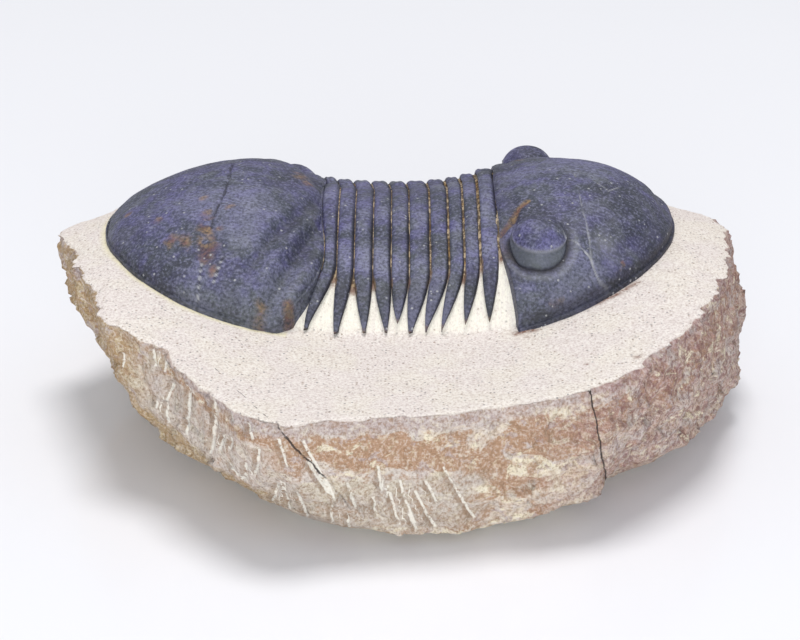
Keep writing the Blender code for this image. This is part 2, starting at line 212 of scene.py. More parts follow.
def tail_plan(across, along):
    """Plan position on the tail plate, from across -1..1 and along -1..1."""
    tail = TAIL_CENTRE - TAIL_LENGTH * np.sqrt(np.maximum(1.0 - across ** 2, 0.0))
    front = TAIL_FRONT - TAIL_FRONT_SWEEP * np.abs(across) ** 7
    y = TAIL_HALF_WIDTH * across
    front = front + TAIL_SWELL * bell(np.abs(y) - TAIL_SWELL_SIDE, TAIL_SWELL_WIDTH)
    front = front - FAR_SWEEP * ramp(*FAR_SWEEP_IN, y) * ramp(1.0, 0.85, across)
    return 0.5 * (tail + front) + 0.5 * (front - tail) * along, y


def head_dome(x, y):
    """Height of the head plate's back, without the eyes."""
    ahead = np.clip((x - HEAD_CENTRE) / HEAD_LENGTH, 0.0, 1.0)
    half_width = HEAD_HALF_WIDTH * np.sqrt(1.0 - ahead ** HEAD_POINT)
    across = np.minimum(np.abs(y) / np.maximum(half_width, 0.01), 1.0)
    reach = np.clip((x - HEAD_CROWN_X) / (HEAD_CENTRE + HEAD_LENGTH - HEAD_CROWN_X), 0.0, 1.0)
    behind = (HEAD_CROWN_X - x) / FRONT_FALL
    crown = HEAD_CROWN * np.where(x > HEAD_CROWN_X, (1.0 - reach ** 1.8) ** 0.75, 1.0 - behind ** 2)
    return slab_face(x, y) + EDGE_HEIGHT + crown * (1.0 - across ** 2) ** PLATE_ARCH


def head_plan(across, along):
    """Plan position on the head plate, from across -1..1 and along -1..1."""
    front = HEAD_CENTRE + HEAD_LENGTH * np.maximum(1.0 - across ** 2, 0.0) ** (1.0 / HEAD_POINT)
    back = HEAD_BACK + HEAD_BACK_SWEEP * across ** 2
    y = HEAD_HALF_WIDTH * across
    back = back - HEAD_SWELL * bell(np.abs(y) - HEAD_SWELL_SIDE, HEAD_SWELL_WIDTH)
    front = np.maximum(front, back)
    return 0.5 * (back + front) + 0.5 * (front - back) * along, y


def thorax_rise(x, y):
    """Height of the thorax's back above the slab's face."""
    rise = np.where(x > 0.0, THORAX_RISE_HEAD, THORAX_RISE_TAIL)
    across = np.minimum(np.abs(y) / THORAX_HALF_WIDTH, 1.0)
    lift = AXIS_LIFT * bell(y, AXIS_LIFT_WIDTH)
    lift = lift + FAR_LIFT * ramp(*FAR_LIFT_IN, y) * ramp(*FAR_LIFT_OUT, y)
    return THORAX_EDGE + lift + (THORAX_CROWN + rise * x * x) * (1.0 - across ** 2) ** THORAX_ARCH


def segment_edges():
    """X of the joints between the segments, from the head plate to the tail plate."""
    share = (HEAD_BACK - TAIL_FRONT) / sum(SEGMENT_WIDTHS)
    return HEAD_BACK - share * np.concatenate(([0.0], np.cumsum(SEGMENT_WIDTHS)))


# ---------------------------------------------------------------- repeatable noise

def cell_random(cells, seed):
    """A repeatable random number 0..1 for each row of whole-number cell coordinates."""
    mixed = cells[:, 0] * 374761393 + cells[:, 1] * 668265263 + cells[:, 2] * 1440662683
    mixed = (mixed + seed * 974634777) & 0xFFFFFFFF
    mixed = ((mixed ^ (mixed >> 13)) * 1274126177) & 0xFFFFFFFF
    mixed = ((mixed ^ (mixed >> 15)) * 1911520717) & 0xFFFFFFFF
    return (mixed ^ (mixed >> 16)) / 0xFFFFFFFF


def neighbours(reach):
    """Every step to a cell nearby, for the reach along one axis."""
    return [(i, j, k) for i in reach for j in reach for k in reach]


def soft_noise(points, cell, seed):
    """Smooth noise, -1..1, whose lumps are about one cell wide."""
    scaled = points / cell
    base = np.floor(scaled).astype(np.int64)
    part = scaled - base
    part = part * part * (3.0 - 2.0 * part)
    total = np.zeros(len(points))
    for corner in neighbours((0, 1)):
        weight = np.prod(np.where(np.array(corner) == 1, part, 1.0 - part), axis=1)
        total += weight * cell_random(base + corner, seed)
    return 2.0 * total - 1.0


def layered_noise(points, *layers):
    """Sum of smooth noises, each given as its height, cell and seed."""
    return sum(height * soft_noise(points, cell, seed) for height, cell, seed in layers)


def facets(points, cell, seed):
    """Broken-stone faces, about -1..1: tilted, slightly hollow scars that meet in sharp edges."""
    scaled = points / cell
    base = np.floor(scaled).astype(np.int64)
    nearest = np.full(len(points), np.inf)
    height = np.zeros(len(points))
    for step in neighbours((-1, 0, 1)):
        cells = base + step
        jitter = np.stack([cell_random(cells, seed + n) for n in range(3)], axis=1)
        away = scaled - cells - jitter
        tilt = np.stack([cell_random(cells, seed + 3 + n) for n in range(3)], axis=1) * 2.0 - 1.0
        distance = np.sum(away ** 2, axis=1)
        scar = cell_random(cells, seed + 6) - 0.7 + 0.9 * np.sum(away * tilt, axis=1) + 0.8 * distance
        closer = distance < nearest
        nearest = np.where(closer, distance, nearest)
        height = np.where(closer, scar, height)
    return height


def line_place(points, line):
    """Distance of each point from a line of corners, and how far along the line, 0..1, that is."""
    line = np.array(line, float)
    lengths = np.linalg.norm(np.diff(line, axis=0), axis=1)
    starts = np.concatenate(([0.0], np.cumsum(lengths)))
    best = np.full(len(points), np.inf)
    along = np.zeros(len(points))
    for number, length in enumerate(lengths):
        way = (line[number + 1] - line[number]) / length
        local = np.clip((points - line[number]) @ way, 0.0, length)
        distance = np.linalg.norm(points - line[number] - local[:, None] * way, axis=1)
        closer = distance < best
        best = np.where(closer, distance, best)
        along = np.where(closer, (starts[number] + local) / starts[-1], along)
    return best, along


def line_distance(points, line):
    """Distance of each point from a line of corners."""
    return line_place(points, line)[0]


# ---------------------------------------------------------------- meshes

TAIL_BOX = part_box("pygidium")
AXIS = Vector((TAIL_BOX[0].x / MM + TAIL_LENGTH - TAIL_CENTRE,
               0.5 * (TAIL_BOX[0].y + TAIL_BOX[1].y) / MM, 0.0))


def new_object(name, data):
    """A new object in the scene."""
    obj = bpy.data.objects.new(name, data)
    bpy.context.scene.collection.objects.link(obj)
    return obj


def surface_normals(rings):
    """Unit normals of a grid of points whose columns run round a closed ring."""
    down = np.gradient(rings, axis=0)
    around = np.roll(rings, -1, axis=1) - np.roll(rings, 1, axis=1)
    normals = np.cross(down, around)
    return normals / np.maximum(np.linalg.norm(normals, axis=2, keepdims=True), 1e-9)


def closed_mesh(name, rings, start, end, masks):
    """A closed mesh object from rings of points and the two points that close its ends.

    masks holds one number per ring point under each attribute's name.
    """
    rows, columns = rings.shape[:2]
    points = np.concatenate([np.array([start]), rings.reshape(-1, 3), np.array([end])])
    points = (points + np.array(AXIS)) * MM
    index = 1 + np.arange(rows * columns).reshape(rows, columns)
    beside = np.roll(index, -1, axis=1)
    quads = np.stack([index[:-1], beside[:-1], beside[1:], index[1:]], axis=-1).reshape(-1, 4)
    first = np.stack([np.zeros(columns, int), beside[0], index[0]], axis=-1)
    last = np.stack([np.full(columns, rows * columns + 1), index[-1], beside[-1]], axis=-1)
    mesh = bpy.data.meshes.new(name)
    mesh.from_pydata(points.tolist(), [], first.tolist() + quads.tolist() + last.tolist())
    for title, values in masks.items():
        flat = np.asarray(values, float).reshape(-1)
        flat = np.concatenate([flat[:1], flat, flat[-1:]])
        mesh.attributes.new(title, 'FLOAT', 'POINT').data.foreach_set("value", flat.astype(np.float32))
    obj = new_object(name, mesh)
    face_outwards(mesh)
    mesh.shade_smooth()
    return obj


def face_outwards(mesh):
    """Turn a closed mesh the right way out, from the sign of its volume."""
    mesh.calc_loop_triangles()
    corners = np.zeros(len(mesh.vertices) * 3)
    mesh.vertices.foreach_get("co", corners)
    corners = corners.reshape(-1, 3)
    triangles = np.zeros(len(mesh.loop_triangles) * 3, np.int32)
    mesh.loop_triangles.foreach_get("vertices", triangles)
    a, b, c = (corners[triangles[n::3]] for n in range(3))
    if np.sum(a * np.cross(b, c)) < 0.0:
        mesh.flip_normals()
    mesh.update()


def made_plain(obj):
    """Replace an object's modifiers by the plain mesh that they make."""
    graph = bpy.context.evaluated_depsgraph_get()
    source = obj.data
    mesh = bpy.data.meshes.new_from_object(
        obj.evaluated_get(graph), preserve_all_data_layers=True, depsgraph=graph)
    obj.modifiers.clear()
    obj.data = mesh
    mesh.name = obj.name
    bpy.data.meshes.remove(source)
    return obj


def finish_piece(obj, node, material=None):
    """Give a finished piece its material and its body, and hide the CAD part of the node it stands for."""
    if material:
        obj.data.materials.clear()
        obj.data.materials.append(material)
    if not obj.data.polygons:
        raise RuntimeError(obj.name + " has no faces")
    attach(obj, "root")
    if node:
        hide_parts(node)


# ---------------------------------------------------------------- node trees written as sums

def node_sum(operation, swapped=False):
    """An operator of Num that adds one Math node."""
    def method(self, other):
        terms = (other, self) if swapped else (self, other)
        return self.graph.math(operation, *terms)
    return method


class Num:
    """A number socket in a node tree. Sums written with it add their Math nodes to the tree."""

    __add__ = __radd__ = node_sum('ADD')
    __sub__, __rsub__ = node_sum('SUBTRACT'), node_sum('SUBTRACT', swapped=True)
    __mul__ = __rmul__ = node_sum('MULTIPLY')
    __truediv__ = node_sum('DIVIDE')
    __pow__ = node_sum('POWER')

    def __init__(self, graph, socket):
        self.graph = graph
        self.socket = socket

    def __neg__(self):
        return self * -1.0


class Graph:
    """Adds nodes to a tree, whether of a material or of Geometry Nodes."""

    def __init__(self, tree):
        self.tree = tree

    def add(self, kind, settings=None, values=None):
        """A new node: its settings first, then the values or links of its sockets."""
        node = self.tree.nodes.new(kind)
        for name, value in (settings or {}).items():
            setattr(node, name, value)
        for key, value in (values or {}).items():
            self.put(node.inputs[key], value)
        return node

    def put(self, target, value):
        """Link a socket to a value, or set it."""
        if isinstance(value, Num):
            value = value.socket
        if isinstance(value, bpy.types.NodeSocket):
            self.tree.links.new(value, target)
        else:
            target.default_value = value

    def math(self, operation, *terms):
        node = self.add('ShaderNodeMath', {"operation": operation}, dict(enumerate(terms)))
        return Num(self, node.outputs[0])

    def least(self, a, b):
        return self.math('MINIMUM', a, b)

    def most(self, a, b):
        return self.math('MAXIMUM', a, b)

    def size(self, a):
        return self.math('ABSOLUTE', a)

    def smooth(self, low, high, value):
        """Smooth change from 0 to 1 as value goes from low to high."""
        node = self.add('ShaderNodeMapRange', {"interpolation_type": 'SMOOTHSTEP'},
                        {"Value": value, "From Min": low, "From Max": high})
        return Num(self, node.outputs[0])

    def parts(self, vector):
        node = self.add('ShaderNodeSeparateXYZ', None, {0: vector})
        return [Num(self, socket) for socket in node.outputs]

    def vector(self, x, y, z):
        return self.add('ShaderNodeCombineXYZ', None, {0: x, 1: y, 2: z}).outputs[0]

    def noise(self, where, size, detail=3.0, roughness=0.5, distortion=0.0):
        """Noise 0..1 whose lumps are about size across, in the units of where."""
        node = self.add('ShaderNodeTexNoise', None, {
            "Vector": where, "Scale": 1.0 / size, "Detail": detail, "Roughness": roughness,
            "Distortion": distortion})
        return Num(self, node.outputs[0])
    def mask(self, name):
        """A number painted on the mesh's points."""
        return Num(self, self.add('ShaderNodeAttribute', {"attribute_name": name}).outputs["Fac"])


class Surface(Graph):
    """A material in the making, with its shader, its tones and its place in mm of the animal's axes."""

    def __init__(self, name, sizes):
        self.sizes = sizes
        self.material = bpy.data.materials.new(name)
        self.material.use_nodes = True
        super().__init__(self.material.node_tree)
        self.shader = self.tree.nodes["Principled BSDF"]
        place = self.add('ShaderNodeTexCoord').outputs["Object"]
        place = self.add('ShaderNodeVectorMath', {"operation": 'SCALE'}, {0: place, "Scale": 1.0 / MM})
        shift = self.add('ShaderNodeVectorMath', {"operation": 'SUBTRACT'},
                         {0: place.outputs[0], 1: tuple(AXIS)})
        self.place = shift.outputs[0]

    def lumps(self, size, detail, roughness=0.5, distortion=0.0):
        """Noise over the place itself."""
        return self.noise(self.place, size, detail, roughness, distortion)

    def stretched(self, *scale):
        """The place, squeezed by a scale along each axis, so that patterns on it are drawn out."""
        return self.add('ShaderNodeMapping', None, {"Vector": self.place, "Scale": scale}).outputs[0]

    def cells(self, size):
        """Distance from the middle of the nearest random cell, and that cell's random numbers."""
        node = self.add('ShaderNodeTexVoronoi', None, {"Vector": self.place, "Scale": 1.0 / size})
        return Num(self, node.outputs["Distance"]), self.parts(node.outputs["Color"])

    def mix(self, share, a, b):
        """Mix of two colours, each a socket, a value or the name of one of the settings' tones."""
        a, b = (rgb(getattr(self.sizes, tint)) if isinstance(tint, str) else tint for tint in (a, b))
        return self.add('ShaderNodeMix', {"data_type": 'RGBA'}, {0: share, 6: a, 7: b}).outputs[2]

    def lay(self, colour, *layers):
        """A colour with others laid over it in turn, each given as its share and its colour."""
        for share, layer in layers:
            colour = self.mix(share, colour, layer)
        return colour

    def finish(self, colour, roughness, height, shine):
        """Link the colour and roughness, turn a height into bump and set how strongly it shines."""
        self.put(self.shader.inputs["Base Color"], colour)
        self.put(self.shader.inputs["Roughness"], roughness)
        bump = self.add('ShaderNodeBump', None, {
            "Strength": 1.0, "Distance": BUMP_DEPTH * MM, "Height": height})
        self.put(self.shader.inputs["Normal"], bump.outputs[0])
        self.shader.inputs["Specular IOR Level"].default_value = shine
        return self.material


# ---------------------------------------------------------------- materials

BUMP_DEPTH = 0.22            # mm of bump for a height of 1
# near-black laid by the dark mask: the shell's own cracks, pits and stitch marks, and painted shade on
# margins, furrows, segment fronts and the eye's groove
SHELL_MARKS_AND_SHADE = (0.012, 0.011, 0.016, 1.0)
OPEN_CRACK = (0.04, 0.03, 0.028, 1.0)


def rgb(colour):
    """A tone with its alpha."""
    return tuple(colour)[:3] + (1.0,)


def shell_material(sizes):
    """Dark slate shell with a violet cast, fine terrace lines, ochre stains and white flecks."""
    known = bpy.data.materials.get("slate_shell")
    if known:
        return known
    s = Surface("slate_shell", sizes)
    x, _, z = s.parts(s.place)
    broad = s.lumps(7.0, 4.0, 0.55, 0.5)
    cloud = s.lumps(2.6, 5.0, 0.6, 0.4)
    fine = s.lumps(0.42, 4.0, 0.65)
    shade = s.lumps(13.0, 4.0, 0.55, 0.4)
    low = s.smooth(29.0, 23.5, z + cloud * 6.0 - 3.0)
    # terrace lines: fine ridges that follow the curve of the shell
    terrace = Num(s, s.add('ShaderNodeTexWave', {"wave_type": 'BANDS', "bands_direction": 'DIAGONAL'}, {
        "Vector": s.stretched(0.55, 1.0, 1.5), "Scale": 0.62, "Distortion": 5.0, "Detail": 2.0,
        "Detail Scale": 0.25}).outputs[1])
    # ochre stains around the rust painted on the points
    rust = s.mask("rust")
    stain = s.smooth(0.35, 0.75, rust * 0.75 + s.lumps(0.9, 5.0, 0.7) * 0.5 - 0.12)
    stain = stain * s.smooth(0.0, 0.12, rust)
    ochre = s.mix(s.smooth(0.35, 0.55, s.lumps(1.4, 3.0)), "rust_red", "rust_yellow")
    # white flecks of matrix left in the pores
    fleck, pick = s.cells(0.85)
    flecks = s.smooth(0.27, 0.14, fleck) * s.smooth(0.86, 0.9, pick[0])
    colour = s.lay(
        s.mix(s.smooth(0.4, 0.6, broad * 0.5 + cloud * 0.5), "shell_grey", "shell_violet"),
        (s.smooth(0.58, 0.82, s.lumps(4.6, 6.0, 0.7)) * 0.6, "shell_brown"),
        (low * (0.45 + 0.25 * s.smooth(-9.0, -15.0, x)), "shell_low"),
        (s.smooth(0.48, 0.66, s.lumps(4.2, 5.0, 0.62, 0.3)) * 0.5, "shell_bloom"),
        (s.smooth(0.52, 0.4, shade) * 0.4, "shell_dark"),
        (s.smooth(0.53, 0.64, shade) * 0.3, "shell_light"),
        (s.smooth(0.52, 0.61, fine) * 0.42, "shell_light"),
        (s.smooth(0.49, 0.4, fine) * 0.55, "shell_dark"),
        ((1.0 - terrace) * 0.14, "shell_dark"),
        (stain * s.smooth(0.25, 0.6, fine) * 0.84, ochre),
        (s.mask("eye") * 0.75, "eye_colour"),
        (s.mask("pale"), "scratch_colour"),
        # dark mask: painted shade together with the real dark marks
        (s.mask("dark"), SHELL_MARKS_AND_SHADE),
        (flecks * 0.75, "scratch_colour"))
    rough = 0.44 + 0.22 * s.lumps(1.1, 4.0) + stain * 0.2 - 0.1 * s.mask("eye")
    height = terrace * 0.1 + fine * 0.5 + cloud * 0.35 + flecks * 0.3 + s.lumps(0.16, 2.0) * 0.25
    return s.finish(colour, rough, height, 0.42)


def limestone_material(sizes):
    """Pinkish cream limestone: a sugary prepared face above banded, broken brown walls."""
    known = bpy.data.materials.get("banded_limestone")
    if known:
        return known
    s = Surface("banded_limestone", sizes)
    x, y, z = s.parts(s.place)
    wall = s.mask("wall")

    # prepared face: sandy grain, grey and brown specks
    grain = s.lumps(0.34, 3.0, 0.7)
    speck, pick = s.cells(0.46)
    specks = s.smooth(0.42, 0.2, speck) * s.smooth(0.62, 0.95, pick[0])
    # creamy wedges between the spines, streaked away from the body; sand, rust and hollows in the joints
    bed = s.mask("bed")
    streak = s.noise(s.stretched(1.0, 0.16, 0.2), 0.3, 3.0, 0.6)
    joint_stain = s.noise(s.stretched(1.0, 0.3, 0.5), 1.3, 4.0, 0.65)
    hollow = s.noise(s.stretched(1.0, 0.5, 0.6), 0.55, 3.0, 0.6)
    joint_tint = s.lay(s.mix(s.smooth(0.5, 0.62, joint_stain), "joint_sand", "rust_yellow"),
                       (s.smooth(0.56, 0.47, hollow) * 0.85, "joint_shadow"))
    face = s.lay(
        s.mix(s.smooth(0.4, 0.62, s.lumps(7.0, 3.0)), "face_pink", "face_cream"),
        (s.smooth(0.51, 0.58, grain) * 0.75, "face_light"),
        (s.smooth(0.48, 0.4, grain) * 0.62, "face_grain"),
        (specks * 0.72, s.mix(s.smooth(0.4, 0.7, pick[1]), "speck_grey", "speck_brown")),
        (bed * (0.35 + s.smooth(0.35, 0.7, streak) * 0.6), "wedge_colour"),
        (s.mask("joint"), joint_tint),
        (s.mask("rust") * s.smooth(0.3, 0.55, s.lumps(0.8, 4.0, 0.7)), "rust_red"),
        (s.mask("halo") * 0.9, "halo_colour"))

    # walls: patches drawn out along the layers, likelier at some depths below the rim than at others
    depth = s.mask("depth")
    laid = s.stretched(1.0, 1.0, 1.9)
    patch = s.noise(laid, 9.0, 6.0, 0.6, 0.6)
    seam = s.noise(laid, 5.0, 6.0, 0.62, 0.8)
    blot = s.noise(s.stretched(1.0, 1.0, 1.5), 3.1, 6.0, 0.62, 0.6)
    mottle = s.lumps(1.4, 6.0, 0.72)
    blotches = s.lumps(2.3, 5.0, 0.68, 0.4)
    crumbs = s.lumps(0.42, 3.0, 0.75)
    waver = s.lumps(0.9, 4.0, 0.7)
    upper = s.smooth(1.2, 3.0, depth + seam * 3.0 - 1.5) * s.smooth(10.0, 6.5, depth + patch * 6.0 - 3.0)
    pale = s.smooth(5.5, 8.0, depth) * s.smooth(12.0, 9.5, depth) * 0.06
    pale = pale + s.smooth(15.5, 18.5, depth) * 0.14
    below = depth + seam * 4.0 - 2.0
    # parts of the walls with stone of their own: both ends, and two stretches of the near wall
    head_end = s.smooth(14.0, 32.0, x + patch * 24.0 - 12.0)
    tail_end = s.smooth(-27.0, -38.0, x + seam * 16.0 - 8.0)
    tail_wall = s.smooth(-11.0, -19.0, x + patch * 10.0 - 5.0)
    bare = tail_wall * s.smooth(-38.0, -31.0, x) * s.smooth(2.6, 3.8, below) * s.smooth(13.5, 11.5, below)
    middle = s.smooth(-17.0, -12.0, x + seam * 6.0 - 3.0) * s.smooth(13.0, 7.0, x + seam * 12.0 - 6.0)
    middle = middle * s.smooth(7.6, 8.8, below) * s.smooth(17.5, 15.5, below)
    # chisel strokes: fresh stone, with painted shade along one side of each stroke
    stroke, chisel = s.mask("stroke"), s.mask("chisel")
    scored = s.smooth(0.23, 0.1, s.size(stroke + waver * 0.5 - 0.25)) * s.smooth(0.15, 0.5, chisel)
    scored = scored * s.smooth(0.38, 0.5, waver)
    stroke_shade = s.smooth(0.5, 0.32, s.size(stroke + 0.45)) * s.smooth(0.3, 0.7, chisel)
    side = s.lay(
        s.mix(s.smooth(0.44, 0.54, seam), "layer_grey", "layer_beige"),
        (s.smooth(0.5, 0.56, patch + upper * 0.16 - 0.05) * 0.95, "layer_brown"),
        (s.smooth(0.56, 0.61, seam + pale) * 0.85, "layer_pale"),
        (s.smooth(0.56, 0.61, blot) * 0.7, "layer_brown"),
        (s.smooth(0.44, 0.39, blot) * 0.75, "layer_mauve"),
        (s.smooth(2.3, 0.9, depth + seam * 2.8 - 1.4) * 0.85, "layer_mauve"),
        (head_end * s.smooth(0.42, 0.52, seam) * 0.7, "layer_purple"),
        (head_end * s.smooth(0.57, 0.62, blot) * 0.8, "layer_pale"),
        (head_end * s.smooth(0.47, 0.41, seam) * 0.7, "layer_mauve"),
        (tail_end * s.smooth(0.36, 0.5, blot) * 0.75, "layer_ochre"),
        (bare * 0.75, "layer_grey"),
        (tail_wall * s.smooth(11.5, 14.0, below) * 0.7, "layer_ochre"),
        (middle * 0.7, "layer_drab"),
        (s.smooth(0.56, 0.64, blotches) * 0.4, "speck_brown"),
        (s.smooth(0.54, 0.6, mottle) * 0.4, "layer_brown"),
        (s.smooth(0.45, 0.39, mottle) * 0.32, "layer_pale"),
        (s.smooth(0.52, 0.6, crumbs) * (0.36 - 0.1 * head_end), "face_light"),
        (s.smooth(0.47, 0.4, crumbs) * 0.55, "speck_brown"),
        (head_end * s.smooth(0.5, 0.4, waver) * 0.6, "speck_purple"),
        (s.smooth(1.5, 0.4, z + seam * 2.4 - 1.2) * 0.6, "layer_pale"),
        # painted shade beside each chisel stroke
        (stroke_shade * 0.4, "speck_brown"),
        (scored * 0.9, "chisel_colour"))

    # open cracks: one down the near wall, one aslant across it that runs on over the face
    ragged = s.lumps(1.3, 4.0, 0.6) - 0.5
    broken = s.lumps(2.4, 3.0)
    near = s.smooth(-30.0, -32.0, y) * wall
    upright = s.smooth(0.15, 0.06, s.size(x - 23.9 - (20.4 - z) * 0.2 + ragged * 0.7))
    aslant = s.smooth(0.2, 0.08, s.size(z - 15.4 + (x + 12.4) * 1.42 + ragged * 1.2) * 0.57)
    over = s.smooth(0.1, 0.04, s.size(y + 45.0 + (x + 20.9) * 1.68 + ragged * 1.4) * 0.51)
    crack = upright * near * s.smooth(0.3, 0.42, broken)
    crack = s.most(crack, aslant * near * s.smooth(-15.4, -14.8, x) * s.smooth(-5.9, -6.6, x)
                   * s.smooth(0.36, 0.5, broken))
    crack = s.most(crack, over * s.smooth(-38.0, -40.0, y) * s.smooth(0.5, 0.6, broken)
                   * (1.0 - wall) * 0.8)
    colour = s.mix(s.smooth(0.3, 0.8, wall + grain * 0.3 - 0.15), face, side)
    colour = s.mix(crack * 0.92, colour, OPEN_CRACK)
    rough = 0.82 + 0.1 * mottle - 0.06 * wall
    height = grain * 0.5 + s.lumps(0.16, 2.0) * 0.3 - specks * 0.25 + wall * (mottle * 1.6 + crumbs * 0.8)
    return s.finish(colour, rough, height + bed * streak * 0.5, 0.3)


# ---------------------------------------------------------------- what a user may change

def number(default, name, description, **more):
    """A setting that is a number from 0 up."""
    return bpy.props.FloatProperty(name=name, description=description, default=default, min=0.0, **more)


def length(default, name, description):
    """A setting that is a length, given in mm."""
    return number(default * MM, name, description, unit='LENGTH', subtype='DISTANCE', precision=5)


def tone(default, name, description):
    """A setting that is a colour."""
    return bpy.props.FloatVectorProperty(name=name, description=description, default=default, size=3,
                                         min=0.0, max=1.0, subtype='COLOR')


class TrilobiteSettings(bpy.types.PropertyGroup):
    """Sizes and colours of the specimen and its stage."""

    wall_relief: length(1.15, "Wall relief", "How deep the broken faces of the slab's walls are")
    rim_chips: length(0.8, "Rim chips", "Width of the worn edge around the slab's upper face")
    face_relief: length(0.09, "Face relief", "How uneven the prepared face of the slab is")
    bed_depth: length(0.55, "Bed depth", "How far the matrix lies under the backs of the thoracic segments")
    joint_width: length(0.1, "Joint width", "Open joint between neighbouring thoracic segments")
    segment_thickness: length(1.0, "Segment thickness", "Thickness of a thoracic segment on the midline")
    axial_furrow: length(FURROW_DEPTH, "Axial furrow", "Depth of the furrows that mark off the thorax's axis")
    front_dip: length(0.3, "Front dip", "How far a segment's front edge dips under its neighbour")
    furrow_depth: length(0.4, "Plate furrows", "Depth of the faint furrows on the tail plate")
    border_roll: length(0.3, "Border roll", "Height of the rolled border around the head plate")
    eye_inset: length(0.16, "Eye inset", "How far the eye's surface lies behind its upper rim")
    grain_size: length(0.13, "Grain size", "Radius of the loose grains on the slab")
    grain_density: number(330000.0, "Grain density", "Loose grains on each square metre of the slab")
    shell_violet: tone((0.11, 0.103, 0.242), "Shell violet", "Violet slate of the shell")
    shell_grey: tone((0.052, 0.06, 0.085), "Shell grey", "Grey slate of the shell")
    shell_brown: tone((0.06, 0.052, 0.05), "Shell brown", "Brown clouds in the shell")
    shell_light: tone((0.27, 0.27, 0.41), "Shell bloom", "Pale bloom on the shell's fine grain")
    shell_bloom: tone((0.19, 0.2, 0.235), "Shell haze", "Greyish haze over parts of the shell")
    shell_low: tone((0.13, 0.142, 0.145), "Shell flank", "Greyer slate low on the flanks")
    shell_dark: tone((0.018, 0.018, 0.034), "Shell pores", "Dark pores of the shell")
    eye_colour: tone((0.1, 0.112, 0.118), "Eye", "Greenish grey of the eye's surface")
    scratch_colour: tone((0.42, 0.42, 0.44), "Scratches", "White scratches and flecks on the shell")
    rust_red: tone((0.2, 0.082, 0.05), "Red rust", "Reddish iron stain")
    rust_yellow: tone((0.3, 0.185, 0.075), "Yellow rust", "Ochre iron stain")
    joint_sand: tone((0.5, 0.39, 0.26), "Joint sand", "Pale sand left in the joints of the thorax")
    joint_shadow: tone((0.07, 0.045, 0.03), "Joint shadow", "Dark hollows where the joints are clean")
    face_pink: tone((0.76, 0.68, 0.65), "Face pink", "Pinkish cream of the prepared face")
    face_cream: tone((0.78, 0.71, 0.64), "Face cream", "Warmer cream of the prepared face")
    face_light: tone((0.87, 0.82, 0.77), "Pale grains", "Pale grains of the limestone")
    face_grain: tone((0.56, 0.48, 0.44), "Dull grains", "Darker grains of the prepared face")
    speck_grey: tone((0.2, 0.18, 0.19), "Grey specks", "Grey specks in the prepared face")
    speck_brown: tone((0.27, 0.17, 0.1), "Brown specks", "Brown specks in the limestone")
    speck_purple: tone((0.17, 0.07, 0.07), "Purple specks", "Dark red specks at the head end")
    wedge_colour: tone((0.93, 0.885, 0.77), "Wedge cream", "Creamy matrix between the spines")
    halo_colour: tone((0.82, 0.75, 0.5), "Yellow halo", "Yellowish matrix along the tail plate")
    layer_mauve: tone((0.49, 0.39, 0.375), "Mauve layer", "Mauve layer under the rim")
    layer_brown: tone((0.46, 0.275, 0.17), "Brown layer", "Rusty brown layer of the walls")
    layer_grey: tone((0.66, 0.57, 0.51), "Grey layer", "Grey layer of the walls")
    layer_beige: tone((0.72, 0.6, 0.49), "Beige layer", "Beige layer of the walls")
    layer_pale: tone((0.88, 0.79, 0.6), "Pale layer", "Pale layers and crumbs of the walls")
    layer_ochre: tone((0.47, 0.32, 0.15), "Ochre layer", "Ochre brown of the tail end's walls")
    layer_purple: tone((0.42, 0.25, 0.24), "Purple layer", "Reddish purple of the head end's walls")
    layer_drab: tone((0.5, 0.42, 0.35), "Drab layer", "Dull grey-brown stone low on the near wall")
    chisel_colour: tone((0.92, 0.87, 0.78), "Chisel marks", "Fresh stone in the chisel strokes")
    floor_colour: tone((0.88, 0.88, 0.92), "Floor", "Pale studio floor")
    sky_light: number(0.52, "Sky light", "Strength of the even light all round")
    key_light: number(19.2, "Key light", "Power of the large light overhead", unit='POWER')
    front_light: number(7.5, "Front light", "Power of the soft light in front", unit='POWER')


# ---------------------------------------------------------------- slab

RIM_COLUMNS = 700
FACE_RINGS = 68
WALL_RINGS = 38
UNDER_RINGS = 16
SOLE_RINGS = 8
UNDER_SLOPE = 0.4            # slope of the matrix away from the end plates' edges
SLAB_MIDDLE = 12.0           # height of a point well inside the slab
HEAD_APEX = 18.1             # how far out the matrix wedge beside the head plate begins


def rim_walk(count):
    """Angles, evenly spaced along the slab's rim, with the rim's reach, set-in and foot height there."""
    corners = np.array(SLAB_RIM)
    east = corners[:, 0] - SLAB_CENTRE[0]
    north = corners[:, 1] - SLAB_CENTRE[1]
    angles = np.arctan2(north, east)

    def at(values, angle):
        return np.interp(angle, angles, values, period=TAU)

    fine = np.linspace(0.5 * math.pi, 2.5 * math.pi, 6001)
    distance = at(np.hypot(east, north), fine)
    steps = np.hypot(np.diff(distance * np.cos(fine)), np.diff(distance * np.sin(fine)))
    walked = np.concatenate(([0.0], np.cumsum(steps)))
    even = np.interp(np.linspace(0.0, walked[-1], count + 1)[:-1], walked, fine)
    return even, at(np.hypot(east, north), even), at(corners[:, 2], even), at(corners[:, 3], even)


